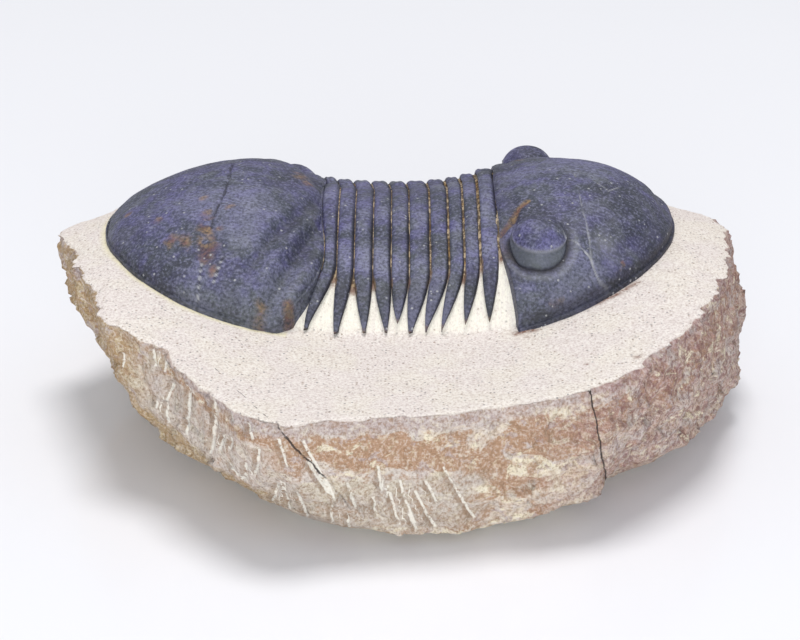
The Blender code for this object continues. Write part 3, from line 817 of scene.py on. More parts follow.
def bed_rise(x, y, depth):
    """Height of the matrix that fills the thorax's arch, above the slab's face."""
    side = np.abs(y)
    step = 0.1
    slope = (thorax_rise(x, side + step) - thorax_rise(x, side - step)) / (2.0 * step)
    slope = np.where(side < THORAX_HALF_WIDTH - step, slope, 0.0)
    lie = depth + WEDGE_DEPTH * ramp(16.5, 20.5, side) * ramp(25.5, 23.0, side)
    lie = lie * np.sqrt(1.0 + slope ** 2) + FURROW_DEPTH * bell(side - FURROW_SIDE, FURROW_WIDTH)
    rise = np.maximum(thorax_rise(x, y) - lie, 0.0) * ramp(28.5, 24.0, side)
    head_x = np.maximum(x, HEAD_BACK)
    tail_x = np.minimum(x, TAIL_FRONT)
    head = head_dome(head_x, y) - slab_face(head_x, y) - depth - PLATE_CLEAR + UNDER_SLOPE * (head_x - x)
    tail = tail_dome(tail_x, y) - slab_face(tail_x, y) - depth - PLATE_CLEAR + UNDER_SLOPE * (x - tail_x)
    under = ramp(24.5, 21.5, side)
    rise = rise + under * (np.minimum(np.minimum(rise, head), tail) - rise)
    return rise * ramp(-17.5, -14.5, x) * ramp(18.5, 16.0, x)

def spread(distance, height, angle):
    """Points at a distance from the slab's centre and a height, along each column's angle."""
    x = SLAB_CENTRE[0] + distance * np.cos(angle)
    return np.stack([x, SLAB_CENTRE[1] + distance * np.sin(angle), height], axis=-1)
def slab_rings(sizes):
    """Rings of points from the middle of the slab's face, over its walls, to the middle of its sole."""
    relief = sizes.wall_relief / MM
    angle, reach, inset, foot = rim_walk(RIM_COLUMNS)
    rim_at = spread(reach, np.zeros_like(reach), angle)
    foot = foot + 0.6 * soft_noise(rim_at, 9.0, 41) + 0.3 * facets(rim_at, 3.2, 43)
    foot = np.maximum(foot, 0.8)
    reach = reach + 0.5 * soft_noise(rim_at, 11.0, 45)
    sole = reach - inset - SOLE_SET_IN - foot
    rim_x, rim_y, _ = spread(reach, np.zeros_like(reach), angle).T
    rim = slab_face(rim_x, rim_y)

    # walls before they are broken, from the rim down to the sole's edge
    down = np.linspace(0.0, 1.0, WALL_RINGS)[:, None]
    distance = reach - inset * down ** np.where(inset > 0.0, 1.45, 1.0) + WALL_SWELL * np.sin(math.pi * down)
    height = rim + (foot - rim) * down
    under = np.linspace(0.0, 1.0, UNDER_RINGS + 1)[1:, None]
    distance = np.concatenate([distance, reach - inset + (sole - reach + inset) * under])
    height = np.concatenate([height, foot * (1.0 - under) ** 2])
    points = spread(distance, height, angle).reshape(-1, 3)
    broken = (0.62 * facets(points * (1.0, 1.0, 1.25), 9.0, 1) + 0.5 * facets(points, 4.2, 11)
              + 0.26 * facets(points, 1.9, 21) + 0.16 * soft_noise(points, 1.1, 31))
    broken = (broken - np.mean(broken)).reshape(distance.shape) * relief
    calm = np.concatenate([np.ones(WALL_RINGS), 1.0 - under[:, 0]])[:, None]
    lively = 0.62 + 0.38 * ramp(8.0, 30.0, np.abs(rim_x + 4.0))
    distance = distance + broken * calm * lively

    # upper face out to the worn rim
    edge = distance[0]
    worn = sizes.rim_chips / MM * (0.45 + 0.9 * np.clip(soft_noise(rim_at, 3.2, 47) + 0.3, 0.0, 1.0))
    ring = np.linspace(0.0, 1.0, FACE_RINGS + 1)[1:, None]
    face_distance = np.concatenate([(edge - worn) * ring, (edge - 0.45 * worn)[None]])
    flat = spread(face_distance, np.zeros_like(face_distance), angle)
    x, y = flat[..., 0], flat[..., 1]
    grain = layered_noise(flat.reshape(-1, 3), (0.6, 3.4, 51), (0.5, 1.4, 53)).reshape(x.shape)
    face = slab_face(x, y) + bed_rise(x, y, sizes.bed_depth / MM) + grain * sizes.face_relief / MM
    face[-1] -= 0.18 * worn
    height[0] = slab_face(x[-1], y[-1]) - 0.55 * worn
    height[1] = np.minimum(height[1], height[0] - 0.25)

    sole_ring = np.linspace(1.0, 0.0, SOLE_RINGS + 1)[1:-1, None]
    distance = np.concatenate([face_distance, distance, distance[-1] * sole_ring])
    height = np.concatenate([face, height, np.zeros((SOLE_RINGS - 1, RIM_COLUMNS))])
    return spread(distance, np.maximum(height, 0.0), angle)
def wall_marks(points):
    """Marks of points on the near walls.

    Gives how much of a crack is at each point, how far it lies to the side of the nearest chisel
    stroke, and how much of that stroke is there.
    """
    upright = points[:, (0, 2)]
    crack = np.zeros(len(points))
    wander = 0.4 * 0.22 * soft_noise(points, 1.6, 61)
    for line in WALL_CRACKS:
        crack = np.maximum(crack, bell(line_distance(upright, line) + wander, 0.3))
    nearest = np.full(len(points), OFF_STROKE)
    offset = np.full(len(points), OFF_STROKE)
    present = np.zeros(len(points))
    for line in CHISEL_STROKES:
        distance, along = line_place(upright, line)
        stroke_x, stroke_z = np.array(line)[::-1].T
        side = np.sign(upright[:, 0] - np.interp(upright[:, 1], stroke_z, stroke_x))
        closer = distance < nearest
        fade = ramp(0.0, 0.1, along) * ramp(1.0, 0.85, along) * ramp(0.9, 0.6, distance)
        nearest = np.where(closer, distance, nearest)
        offset = np.where(closer, distance * side, offset)
        present = np.where(closer, fade, present)
    return crack, np.clip(offset, -1.5, 1.5), present


def build_slab(sizes):
    """The slab, from its painted masks to its finished mesh."""
    rings = slab_rings(sizes)
    rows, columns = rings.shape[:2]
    points = rings.reshape(-1, 3)
    x, y, z = points.T
    face_rows = FACE_RINGS + 1
    wall = (np.repeat(np.arange(rows), columns) >= face_rows).astype(float)
    face = 1.0 - wall
    depth = np.maximum(np.tile(rings[face_rows - 1, :, 2], rows) - z, 0.0) * wall

    near = y < NEAR_WALL
    crack, chisel, stroke = np.zeros((3, len(points)))
    stroke += OFF_STROKE
    crack[near], stroke[near], chisel[near] = wall_marks(points[near])
    outward = surface_normals(rings).reshape(-1, 3)
    if np.mean(np.sum(outward * (points - (*SLAB_CENTRE, SLAB_MIDDLE)), axis=1)) < 0.0:
        outward = -outward
    cut = (0.4 * chisel * bell(stroke, 0.3) + 0.35 * crack) * wall
    points = points - outward * cut[:, None]

    # painted marks of the face: the joints and the rust in them, rusty spots, and a halo along the tail
    edges = segment_edges()
    lead = edges[0] + HEAD_BACK_SWEEP * (np.minimum(np.abs(y), HEAD_HALF_WIDTH) / HEAD_HALF_WIDTH) ** 2
    inside = ramp(edges[-1] - 0.5, edges[-1] + 0.3, x) * ramp(lead + 0.7, lead - 0.1, x)
    apex = np.interp(x, edges[::-1], [spine[2] for spine in SPINES][::-1] + [HEAD_APEX])
    joint = inside * ramp(apex + 0.3, apex - 0.9, np.abs(y))
    flat = np.stack([x, y], axis=-1)
    rust = 0.8 * inside * bell(np.abs(y) - apex + 0.3, 0.7)
    for line, width in FACE_STAINS:
        rust = np.maximum(rust, bell(line_distance(flat, line), width))
    for *place, radius in FACE_SPOTS:
        rust = np.maximum(rust, spot(flat, place, radius))
    behind = (TAIL_CENTRE - x) / TAIL_LENGTH
    off = (np.hypot(np.maximum(behind, 0.0), y / TAIL_HALF_WIDTH) - 1.0) * 25.0
    halo = np.where(x < -15.0, bell(off - 0.1, 0.45), 0.0) * ramp(-0.5, 0.0, behind)
    bed = ramp(0.2, 1.6, bed_rise(x, y, 0.3))
    masks = {"wall": wall, "depth": depth, "bed": bed * face, "joint": joint * face, "rust": rust * face,
             "halo": halo * face, "chisel": chisel * wall, "stroke": stroke}
    rings = points.reshape(rows, columns, 3)
    top = (*SLAB_CENTRE, float(np.mean(rings[0, :, 2])))
    slab = closed_mesh("matrix_slab_stone", rings, top, (*SLAB_CENTRE, 0.0), masks)
    finish_piece(slab, "matrix_slab", limestone_material(sizes))


# ---------------------------------------------------------------- end plates
PLATE_COLUMNS = 460
PLATE_RINGS = 176
PLATE_EDGE_RINGS = 10
PLATE_UNDER_RINGS = 8


def plate_rings(plan, dome):
    """Rings over a domed plate: its back, its rounded margin and its underside.

    Also gives how far each point of the back is from the margin.
    """
    angle = np.linspace(0.0, TAU, PLATE_COLUMNS, endpoint=False) + 0.001
    level = np.linspace(0.0, 1.0, PLATE_RINGS + 1)[1:, None]
    ring = np.sin(0.5 * math.pi * level ** 0.92)
    across = ring * np.sin(angle)
    width = np.sqrt(np.maximum(1.0 - across ** 2, 1e-9))
    along = np.clip(ring * np.cos(angle) / width, -1.0, 1.0)
    x, y = plan(across, along)
    back = np.stack([x, y, dome(x, y)], axis=-1)
    border = back[-1]
    margin = np.full(x.shape, np.inf)
    for edge_x, edge_y, _ in border:
        margin = np.minimum(margin, np.hypot(x - edge_x, y - edge_y))
    foot = slab_face(border[:, 0], border[:, 1]) - PLATE_SINK
    sides = np.repeat(border[None], PLATE_EDGE_RINGS, axis=0)
    sides[..., 2] += (foot - border[:, 2]) * np.linspace(0.0, 1.0, PLATE_EDGE_RINGS + 1)[1:, None]
    middle = np.mean(back[0], axis=0)
    inner = np.linspace(1.0, 0.0, PLATE_UNDER_RINGS + 1)[1:-1, None, None]
    under = middle[:2] + (border[:, :2] - middle[:2]) * inner
    sole = slab_face(under[..., 0], under[..., 1]) - PLATE_SINK
    return np.concatenate([back, sides, np.dstack([under, sole])]), margin.reshape(-1)


def plate_back(rings):
    """Points of a plate's back, its plan, and the plan folded over to the near side."""
    back = rings[:PLATE_RINGS].reshape(-1, 3)
    flat = back[:, :2].copy()
    return back, flat, np.stack([flat[:, 0], -np.abs(flat[:, 1])], axis=-1)


def finish_plate(name, node, rings, masks, sizes):
    """Close a plate's rings and finish it as a piece of shell."""
    full = {}
    for title, mask in masks.items():
        mask = mask.reshape(PLATE_RINGS, PLATE_COLUMNS)
        full[title] = np.concatenate([mask, np.repeat(mask[-1:], len(rings) - PLATE_RINGS, axis=0)])
    crown = rings[0].mean(axis=0)
    base = (crown[0], crown[1], float(slab_face(crown[0], crown[1])) - PLATE_SINK)
    finish_piece(closed_mesh(name, rings, crown, base, full), node, shell_material(sizes))


def move_out(rings, amount):
    """Move the points of a plate's back, up to its margin, along their normals by an amount in mm."""
    normals = surface_normals(rings[:PLATE_RINGS])
    normals = normals * np.sign(np.mean(normals[..., 2]))
    amount = amount.reshape(PLATE_RINGS, PLATE_COLUMNS, 1)
    rings[:PLATE_RINGS - 1] += (normals * amount)[:-1]


def build_pygidium(sizes):
    """The tail plate, with its furrows, crack, rust and stitch marks."""
    rings, edge = plate_rings(tail_plan, tail_dome)
    back, flat, mirrored = plate_back(rings)
    amount = layered_noise(back, (0.1, 6.5, 71), (0.05, 2.4, 73), (0.02, 0.9, 75)) - 0.28 * bell(edge, 0.35)
    depth = sizes.furrow_depth / MM
    for line, share in zip(TAIL_FURROWS, (1.0, 0.7)):
        distance, along = line_place(mirrored, line)
        amount -= 1.6 * share * depth * bell(distance, 0.9) * ramp(0.0, 0.12, along)
        amount += 0.7 * share * depth * bell(distance - 1.9, 0.9)
    # faint ribs that fan back over the flanks
    fan = np.degrees(np.arctan2(-mirrored[:, 1], -(flat[:, 0] + 8.0)))
    ribs = np.cos(np.radians(fan * 360.0 / 13.0)) * ramp(25.0, 40.0, fan)
    amount += 0.05 * ribs * ramp(5.0, 12.0, -mirrored[:, 1]) * ramp(1.0, 4.0, edge)

    jag = layered_noise(back, (0.2, 1.1, 77), (0.08, 0.5, 78))
    crack = bell(line_distance(flat, TAIL_CRACK) + jag, 0.1)
    crack = crack * ramp(-0.75, 0.1, soft_noise(back, 2.2, 79) + 0.25)
    # a rusty, pitted patch behind the crack
    patch = np.hypot((flat[:, 0] + 26.0) / 1.8, (flat[:, 1] + 17.2) / 4.6)
    patch = bell(patch + 0.25 * soft_noise(back, 1.7, 80), 1.0)
    pits = np.clip(soft_noise(back, 0.75, 81) + 0.25, 0.0, 1.0) * patch
    amount -= 0.22 * crack + 0.34 * pits + 0.1 * patch
    rust = 0.95 * patch * ramp(-0.5, 0.4, soft_noise(back, 1.1, 83) + 0.2)
    dark = 0.7 * np.clip(pits * 1.2, 0.0, 1.0) * ramp(0.0, 0.5, soft_noise(back, 0.8, 85)) + 0.8 * crack
    dark = np.maximum(dark, 0.45 * patch * ramp(-0.3, 0.5, soft_noise(back, 1.9, 86)))
    blur = 0.6 * soft_noise(back, 1.2, 82)
    for *place, radius in TAIL_OCHRE:
        away = np.hypot(flat[:, 0] - place[0], flat[:, 1] - place[1])
        rust = np.maximum(rust, 0.66 * bell(away + radius * blur, 1.3 * radius))
    pale = np.zeros(len(back))
    dots = np.sin(flat[:, 1] * TAU / STITCH_PERIOD + 1.4 * soft_noise(back, 1.3, 84))
    dots = ramp(-0.2, 0.35, dots)
    for line in TAIL_STITCHES:
        distance = line_distance(flat, line)
        stitches = bell(distance, STITCH_WIDTH)
        pale = np.maximum(pale, 0.95 * stitches * dots)
        dark = np.maximum(dark, 0.8 * stitches * (1.0 - dots))
        amount -= 0.08 * bell(distance, 0.16)
    rust = np.maximum(rust, 0.3 * bell(edge - 1.4, 1.4) * ramp(-24.0, -15.0, flat[:, 0]))
    # painted shade: darker along the plate's margin, where it curves down, and in the furrows
    dark = np.maximum(dark, 0.35 * bell(edge, 0.35) * ramp(-12.5, -15.0, flat[:, 0]))
    dark = np.maximum(dark, 0.14 * bell(edge, 2.4))
    for line in TAIL_FURROWS:
        dark = np.maximum(dark, 0.3 * bell(line_distance(mirrored, line), 0.7))
    move_out(rings, amount)
    finish_plate("pygidium_shell", "pygidium", rings, {"rust": rust, "dark": dark, "pale": pale}, sizes)

def raise_eye(points, side, sizes):
    """Swell the head plate over one eye.

    Gives the new points, and how much each one belongs to the eye's surface, its rim, the groove
    at its foot and the sill outside the groove.
    """
    drop = FAR_EYE_DROP if side > 0.0 else 0.0
    centre = np.array([EYE_CENTRE[0], side * EYE_CENTRE[1], EYE_CENTRE[2] - drop])
    away = points - centre
    distance = np.linalg.norm(away, axis=1)
    way = away / distance[:, None]
    radius_x, radius_y, radius_z = EYE_RADII
    flatness = np.hypot(way[:, 0] / radius_x, way[:, 1] / radius_y)
    # point of the boxy knob along each direction, found by bisecting its polar angle
    low = np.zeros(len(points))
    high = np.full(len(points), math.pi)
    steep = np.arctan2(flatness, way[:, 2] / radius_z)
    for _ in range(26):
        middle = 0.5 * (low + high)
        boxy = np.arctan2(np.sin(middle) ** EYE_SQUARENESS, np.cos(middle))
        low = np.where(boxy < steep, middle, low)
        high = np.where(boxy < steep, high, middle)
    ring = np.sin(0.5 * (low + high)) ** EYE_SQUARENESS
    level = np.cos(0.5 * (low + high))
    knob = np.hypot(ring, level) / np.maximum(np.hypot(flatness, way[:, 2] / radius_z), 1e-9)

    turn = np.degrees(np.arctan2(way[:, 0], side * way[:, 1]))
    lift = np.degrees(np.arcsin(np.clip(way[:, 2], -1.0, 1.0)))
    rim, base = (start + more * (turn / EYE_SIDE) ** 2 for start, more in (EYE_RIM, EYE_BASE))
    outer = ramp(*EYE_ENDS, np.abs(turn))
    band = ramp(-1.5, 1.5, rim - lift) * ramp(-2.0, 2.0, lift - base) * outer
    rim_line = bell(lift - rim, 2.3) * outer
    flare = np.clip((rim - lift) / 36.0, 0.0, 1.4)
    knob = knob + (0.82 * flare - sizes.eye_inset / MM) * band + 0.14 * rim_line
    blend = 0.22
    swollen = 0.5 * (distance + knob + np.sqrt((distance - knob) ** 2 + blend ** 2))
    swollen = np.where(distance > knob + 5.0, distance, swollen)
    share = ramp(5.0, 3.0, distance - knob)
    swollen = distance + (swollen - distance) * share
    on_knob = ramp(-0.5, 0.3, knob - distance)
    foot = distance - knob
    groove = bell(foot - 0.25, 0.38) * outer
    sill = bell(foot - 1.0, 0.4) * outer
    swollen = swollen + 0.16 * sill - 0.3 * groove
    return centre + way * swollen[:, None], band * on_knob, rim_line * on_knob, groove, sill


def build_cephalon(sizes):
    """The head plate, with its border, sutures, crack, scratches and eyes."""
    rings, edge = plate_rings(head_plan, head_dome)
    back, flat, mirrored = plate_back(rings)
    bow = (flat[:, 1] / HEAD_HALF_WIDTH) ** 2
    front_side = ramp(14.2, 16.5, flat[:, 0] - 1.6 * bow)
    amount = layered_noise(back, (0.09, 6.0, 91), (0.045, 2.2, 93), (0.02, 0.9, 95))
    roll = 0.45 * bell(edge - 0.75, 0.5) - 0.8 * bell(edge - 1.9, 0.7)
    amount += sizes.border_roll / MM * roll * front_side
    amount -= (0.12 + 0.18 * front_side) * bell(edge, 0.3)
    amount -= 0.22 * bell(flat[:, 0] - 15.4 - 1.2 * bow, 0.55) * ramp(9.0, 13.0, -mirrored[:, 1])
    amount -= 0.3 * spot(flat, HEAD_PIT, 1.0) + 0.25 * spot(mirrored, CHEEK_HOLLOW, 2.0)
    furrow = line_distance(mirrored, HEAD_RUST_FURROW)
    jag = 0.12 * soft_noise(back, 0.9, 97)
    suture = bell(line_distance(mirrored, HEAD_SUTURE) + jag, 0.12)
    crack = bell(line_distance(flat, HEAD_CRACK) + jag, 0.11)
    crack = crack * ramp(-0.6, 0.1, soft_noise(back, 1.9, 99) + 0.3)
    amount -= 0.14 * suture + 0.16 * crack + 0.2 * bell(furrow, 0.5)
    pale = 0.85 * suture * ramp(-0.5, 0.2, soft_noise(back, 1.4, 101) + 0.35) + 0.45 * crack
    pale = pale + 0.26 * spot(flat, CHEEK_HOLLOW, 1.7)
    for line in HEAD_SCRATCHES:
        pale = np.maximum(pale, 0.55 * bell(line_distance(flat, line), 0.09))
    rust = np.maximum(0.85 * bell(furrow, 0.7), 0.9 * spot(flat, CHEEK_RUST, 0.4))
    border = 0.5 * bell(edge - 0.6, 0.5) * ramp(0.1, 0.6, soft_noise(back, 3.0, 103))
    rust = np.maximum(rust, border * front_side)
    # dark: painted shade along the front border and round the whole margin, with the crack's own dark and a
    # darker pit
    dark = 0.4 * bell(edge - 0.1, 0.45) * front_side + 0.5 * crack * ramp(0.0, 0.6, soft_noise(back, 1.2, 105))
    dark = dark + 0.25 * spot(flat, HEAD_PIT, 0.9) + 0.24 * bell(edge, 2.4)
    move_out(rings, amount)

    back = rings[:PLATE_RINGS].reshape(-1, 3)
    eye = np.zeros(len(back))
    for side in (-1.0, 1.0):
        plan = np.hypot(back[:, 0] - EYE_CENTRE[0], back[:, 1] - side * EYE_CENTRE[1])
        near = (plan < EYE_FIELD) & (back[:, 2] > EYE_FLOOR)
        moved, band, rim_line, groove, sill = raise_eye(back[near], side, sizes)
        # a rusty hollow between the eye and the thorax
        behind = bell(plan[near] - 5.0, 0.7) * ramp(17.0, 15.4, back[near, 0])
        moved[:, 2] -= 0.3 * behind
        back[near] = moved
        eye[near] = np.maximum(eye[near], band)
        # pale: the eye's rim line, and a painted highlight on the sill; dark: painted shadow in the groove at
        # the eye's foot, and the darker hollow behind the eye
        pale[near] = np.maximum(pale[near] * (1.0 - band), np.maximum(0.42 * rim_line, 0.2 * sill))
        dark[near] = np.maximum(dark[near], np.maximum(0.95 * groove, 0.35 * behind))
        rust[near] = np.maximum(rust[near], 0.5 * behind)
    rings[:PLATE_RINGS] = back.reshape(PLATE_RINGS, PLATE_COLUMNS, 3)
    masks = {"rust": rust, "dark": np.clip(dark, 0.0, 1.0), "pale": np.clip(pale, 0.0, 1.0), "eye": eye}
    finish_plate("cephalon_shell", "cephalon", rings, masks, sizes)


# ---------------------------------------------------------------- pieces made with Geometry Nodes

def new_tree(name, lengths):
    """A new Geometry Nodes tree with its output and with its inputs in mm, each a name and a default."""
    tree = bpy.data.node_groups.new(name, 'GeometryNodeTree')
    tree.interface.new_socket("Geometry", in_out='OUTPUT', socket_type='NodeSocketGeometry')
    for title, default in lengths:
        socket = tree.interface.new_socket(title, in_out='INPUT', socket_type='NodeSocketFloat')
        socket.default_value = default * MM
        socket.subtype = 'DISTANCE'
    return tree


def end_tree(g, geometry, material):
    """End a tree in Realize Instances and Set Material."""
    real = g.add('GeometryNodeRealizeInstances', None, {"Geometry": geometry}).outputs[0]
    done = g.add('GeometryNodeSetMaterial', None, {"Geometry": real, "Material": material}).outputs[0]
    g.put(g.add('NodeGroupOutput').inputs[0], done)
    return g.tree


def nodes_piece(name, tree, values):
    """The plain mesh that a tree makes, its inputs set by the identifiers of their sockets."""
    piece = new_object(name, bpy.data.meshes.new(name + "_source"))
    modifier = piece.modifiers.new("nodes", 'NODES')
    modifier.node_group = tree
    for item in tree.interface.items_tree:
        if item.item_type == 'SOCKET' and item.in_out == 'INPUT' and item.name in values:
            modifier[item.identifier] = values[item.name]
    return made_plain(piece)
# Inputs of a segment's tree and their defaults in mm
SEGMENT_INPUTS = (
    ("Middle", 0.0), ("Half Width", 1.1), ("Sweep", 0.0), ("Reach", 25.0), ("Thickness", 1.0),
    ("Front Dip", 0.5), ("Axial Furrow", 0.34), ("Apex", 19.5), ("Front Swell", 0.0),
    ("Rear Dent", 0.0),
)
# Least and greatest scale and turn of a loose grain, each with its seed
GRAIN_SIZE_AND_TURN = (((0.4, 0.4, 0.25), (1.2, 1.2, 0.7), 7), ((-0.4, -0.4, 0.0), (0.4, 0.4, TAU), 9))
GRAIN_LEVEL, GRAIN_FLOOR = 0.8, 16.5       # grains lie on faces at least this level and this high
SEGMENT_AROUND, SEGMENT_ALONG = 73, 190    # points round a segment's section and from tip to tip


def segment_tree(material):
    """Geometry Nodes tree of one thoracic segment, a closed arched band with a spine at each end."""
    tree = new_tree("thoracic_segment", SEGMENT_INPUTS)
    tree.interface.new_socket("Seed", in_out='INPUT', socket_type='NodeSocketFloat')
    g = Graph(tree)
    given = g.add('NodeGroupInput').outputs
    middle, half_width, sweep, reach, thickness, front_dip, furrow, apex, front_swell, rear_dent = (
        Num(g, given[name]) * (1.0 / MM) for name, _ in SEGMENT_INPUTS)

    def clip(value):
        return g.least(g.most(value, 0.0), 1.0)

    def hump(value):
        """1 where the value is 0, falling like a bell."""
        return g.math('EXPONENT', -(value ** 2.0))

    def back(x, y):
        """Height of the thorax's back."""
        side = g.size(x)
        fade = NEAR_FADE + (FAR_FADE - NEAR_FADE) * g.math('GREATER_THAN', y, 0.0)
        face = TOP_LOW + TOP_RISE * g.smooth(RISE_START, RISE_END, side) * hump(y / fade)
        drop = g.most(y - BACK_DROP_START, 0.0)
        rise = THORAX_RISE_TAIL + (THORAX_RISE_HEAD - THORAX_RISE_TAIL) * g.math('GREATER_THAN', x, 0.0)
        across = g.least(g.size(y) / THORAX_HALF_WIDTH, 1.0)
        arch = g.most(1.0 - across * across, 0.0) ** THORAX_ARCH
        lift = AXIS_LIFT * hump(y / AXIS_LIFT_WIDTH)
        lift = lift + FAR_LIFT * g.smooth(*FAR_LIFT_IN, y) * g.smooth(*FAR_LIFT_OUT, y)
        return face - BACK_DROP * drop * drop + THORAX_EDGE + lift + (THORAX_CROWN + rise * x * x) * arch

    grid = g.add('GeometryNodeMeshGrid', None, {
        "Size X": 1.0, "Size Y": 1.0, "Vertices X": SEGMENT_AROUND, "Vertices Y": SEGMENT_ALONG})
    around, along, _ = g.parts(grid.outputs["UV Map"])
    angle = around * TAU
    y = -(reach * g.math('COSINE', along * math.pi))
    side = g.size(y)
    spine = clip((side - SPINE_START) / (reach - SPINE_START))
    taper = g.most(1.0 - spine ** 2.5, 0.0) ** 0.8
    centre = middle + sweep * spine ** 1.5
    swept = FAR_SWEEP / (HEAD_BACK - TAIL_FRONT) * (HEAD_BACK - middle)
    centre = centre - swept * g.smooth(*FAR_SWEEP_IN, y)
    cosine = g.math('COSINE', angle)
    sine = g.math('SINE', angle)
    round_x = g.math('SIGN', cosine) * g.size(cosine) ** 0.7
    round_z = g.math('SIGN', sine) * g.size(sine) ** 0.75
    deep = thickness * (0.45 + 0.55 * taper)
    ahead = g.most(round_x, 0.0)
    astern = g.most(-round_x, 0.0)
    bulge = hump((side - SEGMENT_SWELL_SIDE) / SEGMENT_SWELL_WIDTH)
    x = centre + half_width * taper * round_x
    x = x + bulge * (front_swell * ahead + rear_dent * astern)
    upper = g.smooth(-0.3, 0.4, sine)
    dip = upper * taper * (front_dip * ahead ** 3.0 + 0.12 * astern ** 3.0)
    # furrows beside the axis, and a shallow one along each flank
    gully = (side - FURROW_SIDE) / FURROW_WIDTH
    dip = dip + upper * furrow * g.math('EXPONENT', -(gully * gully))
    flank = g.smooth(11.0, 14.0, side) * g.smooth(22.0, 19.0, side)
    slant = round_x + 0.45 - (side - 11.0) * 0.09
    dip = dip + upper * 0.13 * flank * g.math('EXPONENT', -(slant * slant * 9.0))
    depth = 0.5 * deep * (1.0 - round_z * taper) - 0.4 * deep * (1.0 - taper) * upper + dip
    wander = g.noise(g.vector(x, y, Num(g, given["Seed"]) * 7.0), 1.6, 3.0) - 0.5
    depth = depth + upper * 0.1 * wander
    step = 0.05
    slope = (back(centre, y + step) - back(centre, y - step)) * (0.5 / step)
    scale = g.math('SQRT', slope * slope + 1.0)
    far_y = y + depth * slope / scale
    far_z = back(centre, y) - depth / scale
    shift = [float(value) for value in AXIS]
    place = g.vector((x + shift[0]) * MM, (far_y + shift[1]) * MM, far_z * MM)
    moved = g.add('GeometryNodeSetPosition', None, {
        "Geometry": grid.outputs[0], "Position": place}).outputs[0]

    # masks for the shell: painted shade on each segment's front edge, darker spines, rusty root and tip of
    # each spine
    shade = g.smooth(0.5, 0.86, round_x) * (1.0 - 0.5 * g.smooth(8.0, 2.0, side))
    edge_rust = g.smooth(0.55, 1.0, g.size(round_x)) * hump((side - apex) / 1.3)
    tip_rust = g.smooth(0.86, 1.0, spine)
    rust = clip(edge_rust + tip_rust * 0.9 + 0.25 * g.smooth(0.8, 1.0, -round_x))
    dark = g.most(shade * 0.85, 0.34 * g.smooth(0.05, 0.5, spine))
    for title, value in (("dark", dark), ("rust", rust * 0.8)):
        moved = g.add('GeometryNodeStoreNamedAttribute', {"data_type": 'FLOAT', "domain": 'POINT'},
                      {"Geometry": moved, "Name": title, "Value": value}).outputs[0]
    merged = g.add('GeometryNodeMergeByDistance', None, {"Geometry": moved, "Distance": 2e-6}).outputs[0]
    return end_tree(g, g.add('GeometryNodeSetShadeSmooth', None, {"Geometry": merged}).outputs[0], material)


def build_thorax(sizes):
    """The ten segments, from the head plate to the tail plate."""
    tree = segment_tree(shell_material(sizes))
    edges = segment_edges()
    for number, (sweep, reach, apex) in enumerate(SPINES):
        name = f"thoracic_segment_{number + 1:02d}"
        width = edges[number] - edges[number + 1] - sizes.joint_width / MM
        piece = nodes_piece(name + "_shell", tree, {
            "Middle": 0.5 * (edges[number] + edges[number + 1]) * MM, "Half Width": 0.5 * width * MM,
            "Sweep": sweep * MM, "Reach": reach * MM, "Thickness": sizes.segment_thickness,
            "Front Dip": sizes.front_dip, "Axial Furrow": sizes.axial_furrow, "Apex": apex * MM,
            "Front Swell": (HEAD_SWELL if number == 0 else 0.0) * MM * FIRST_SEGMENT_SWELL,
            "Rear Dent": (TAIL_SWELL if number == len(SPINES) - 1 else 0.0) * MM, "Seed": float(number)})
        face_outwards(piece.data)
        finish_piece(piece, name)


def grain_tree(material):
    """Geometry Nodes tree that strews loose grains over the slab's prepared face."""
    tree = new_tree("loose_grains", (("Grain Radius", 0.1),))
    tree.interface.new_socket("Stone", in_out='INPUT', socket_type='NodeSocketObject')
    tree.interface.new_socket("Density", in_out='INPUT', socket_type='NodeSocketFloat')
    g = Graph(tree)
    given = g.add('NodeGroupInput').outputs
    ground = g.add('GeometryNodeObjectInfo', None, {"Object": given["Stone"]}).outputs["Geometry"]
    height = g.parts(g.add('GeometryNodeInputPosition').outputs[0])[2]
    up = g.parts(g.add('GeometryNodeInputNormal').outputs[0])[2]
    level = g.math('GREATER_THAN', up, GRAIN_LEVEL) * g.math('GREATER_THAN', height, GRAIN_FLOOR * MM)
    points = g.add('GeometryNodeDistributePointsOnFaces', {"distribute_method": 'RANDOM'}, {
        "Mesh": ground, "Selection": level, "Density": given["Density"], "Seed": 5})
    grain = g.add('GeometryNodeMeshIcoSphere', None, {"Radius": given["Grain Radius"], "Subdivisions": 1})
    size, turn = (
        g.add('FunctionNodeRandomValue', {"data_type": 'FLOAT_VECTOR'},
              {"Min": low, "Max": high, "Seed": seed})
        for low, high, seed in GRAIN_SIZE_AND_TURN)
    strewn = g.add('GeometryNodeInstanceOnPoints', None, {
        "Points": points.outputs["Points"], "Instance": grain.outputs[0], "Rotation": turn.outputs["Value"],
        "Scale": size.outputs["Value"]}).outputs[0]
    return end_tree(g, strewn, material)


def build_grains(sizes):
    """The loose grains, over the slab that is there."""
    stone = bpy.data.objects.get("matrix_slab_stone")
    if stone is None:
        raise RuntimeError("the slab has to be built before its grains")
    values = {"Stone": stone, "Grain Radius": sizes.grain_size, "Density": sizes.grain_density}
    grains = nodes_piece("loose_grains", grain_tree(limestone_material(sizes)), values)
    finish_piece(grains, None)


# ---------------------------------------------------------------- stage

CAMERA_LENS, CAMERA_SENSOR = 108.0, 36.0
CAMERA_ELEVATION = math.radians(22.0)
CAMERA_DISTANCE = 0.34
CAMERA_AIM = (0.0, -8.0, 14.45)
LIGHT_AIM = Vector((0.0, 0.0, 0.02))
FLOOR_HALF = 3.0
SKY_COLOUR = (0.94, 0.965, 1.0, 1.0)


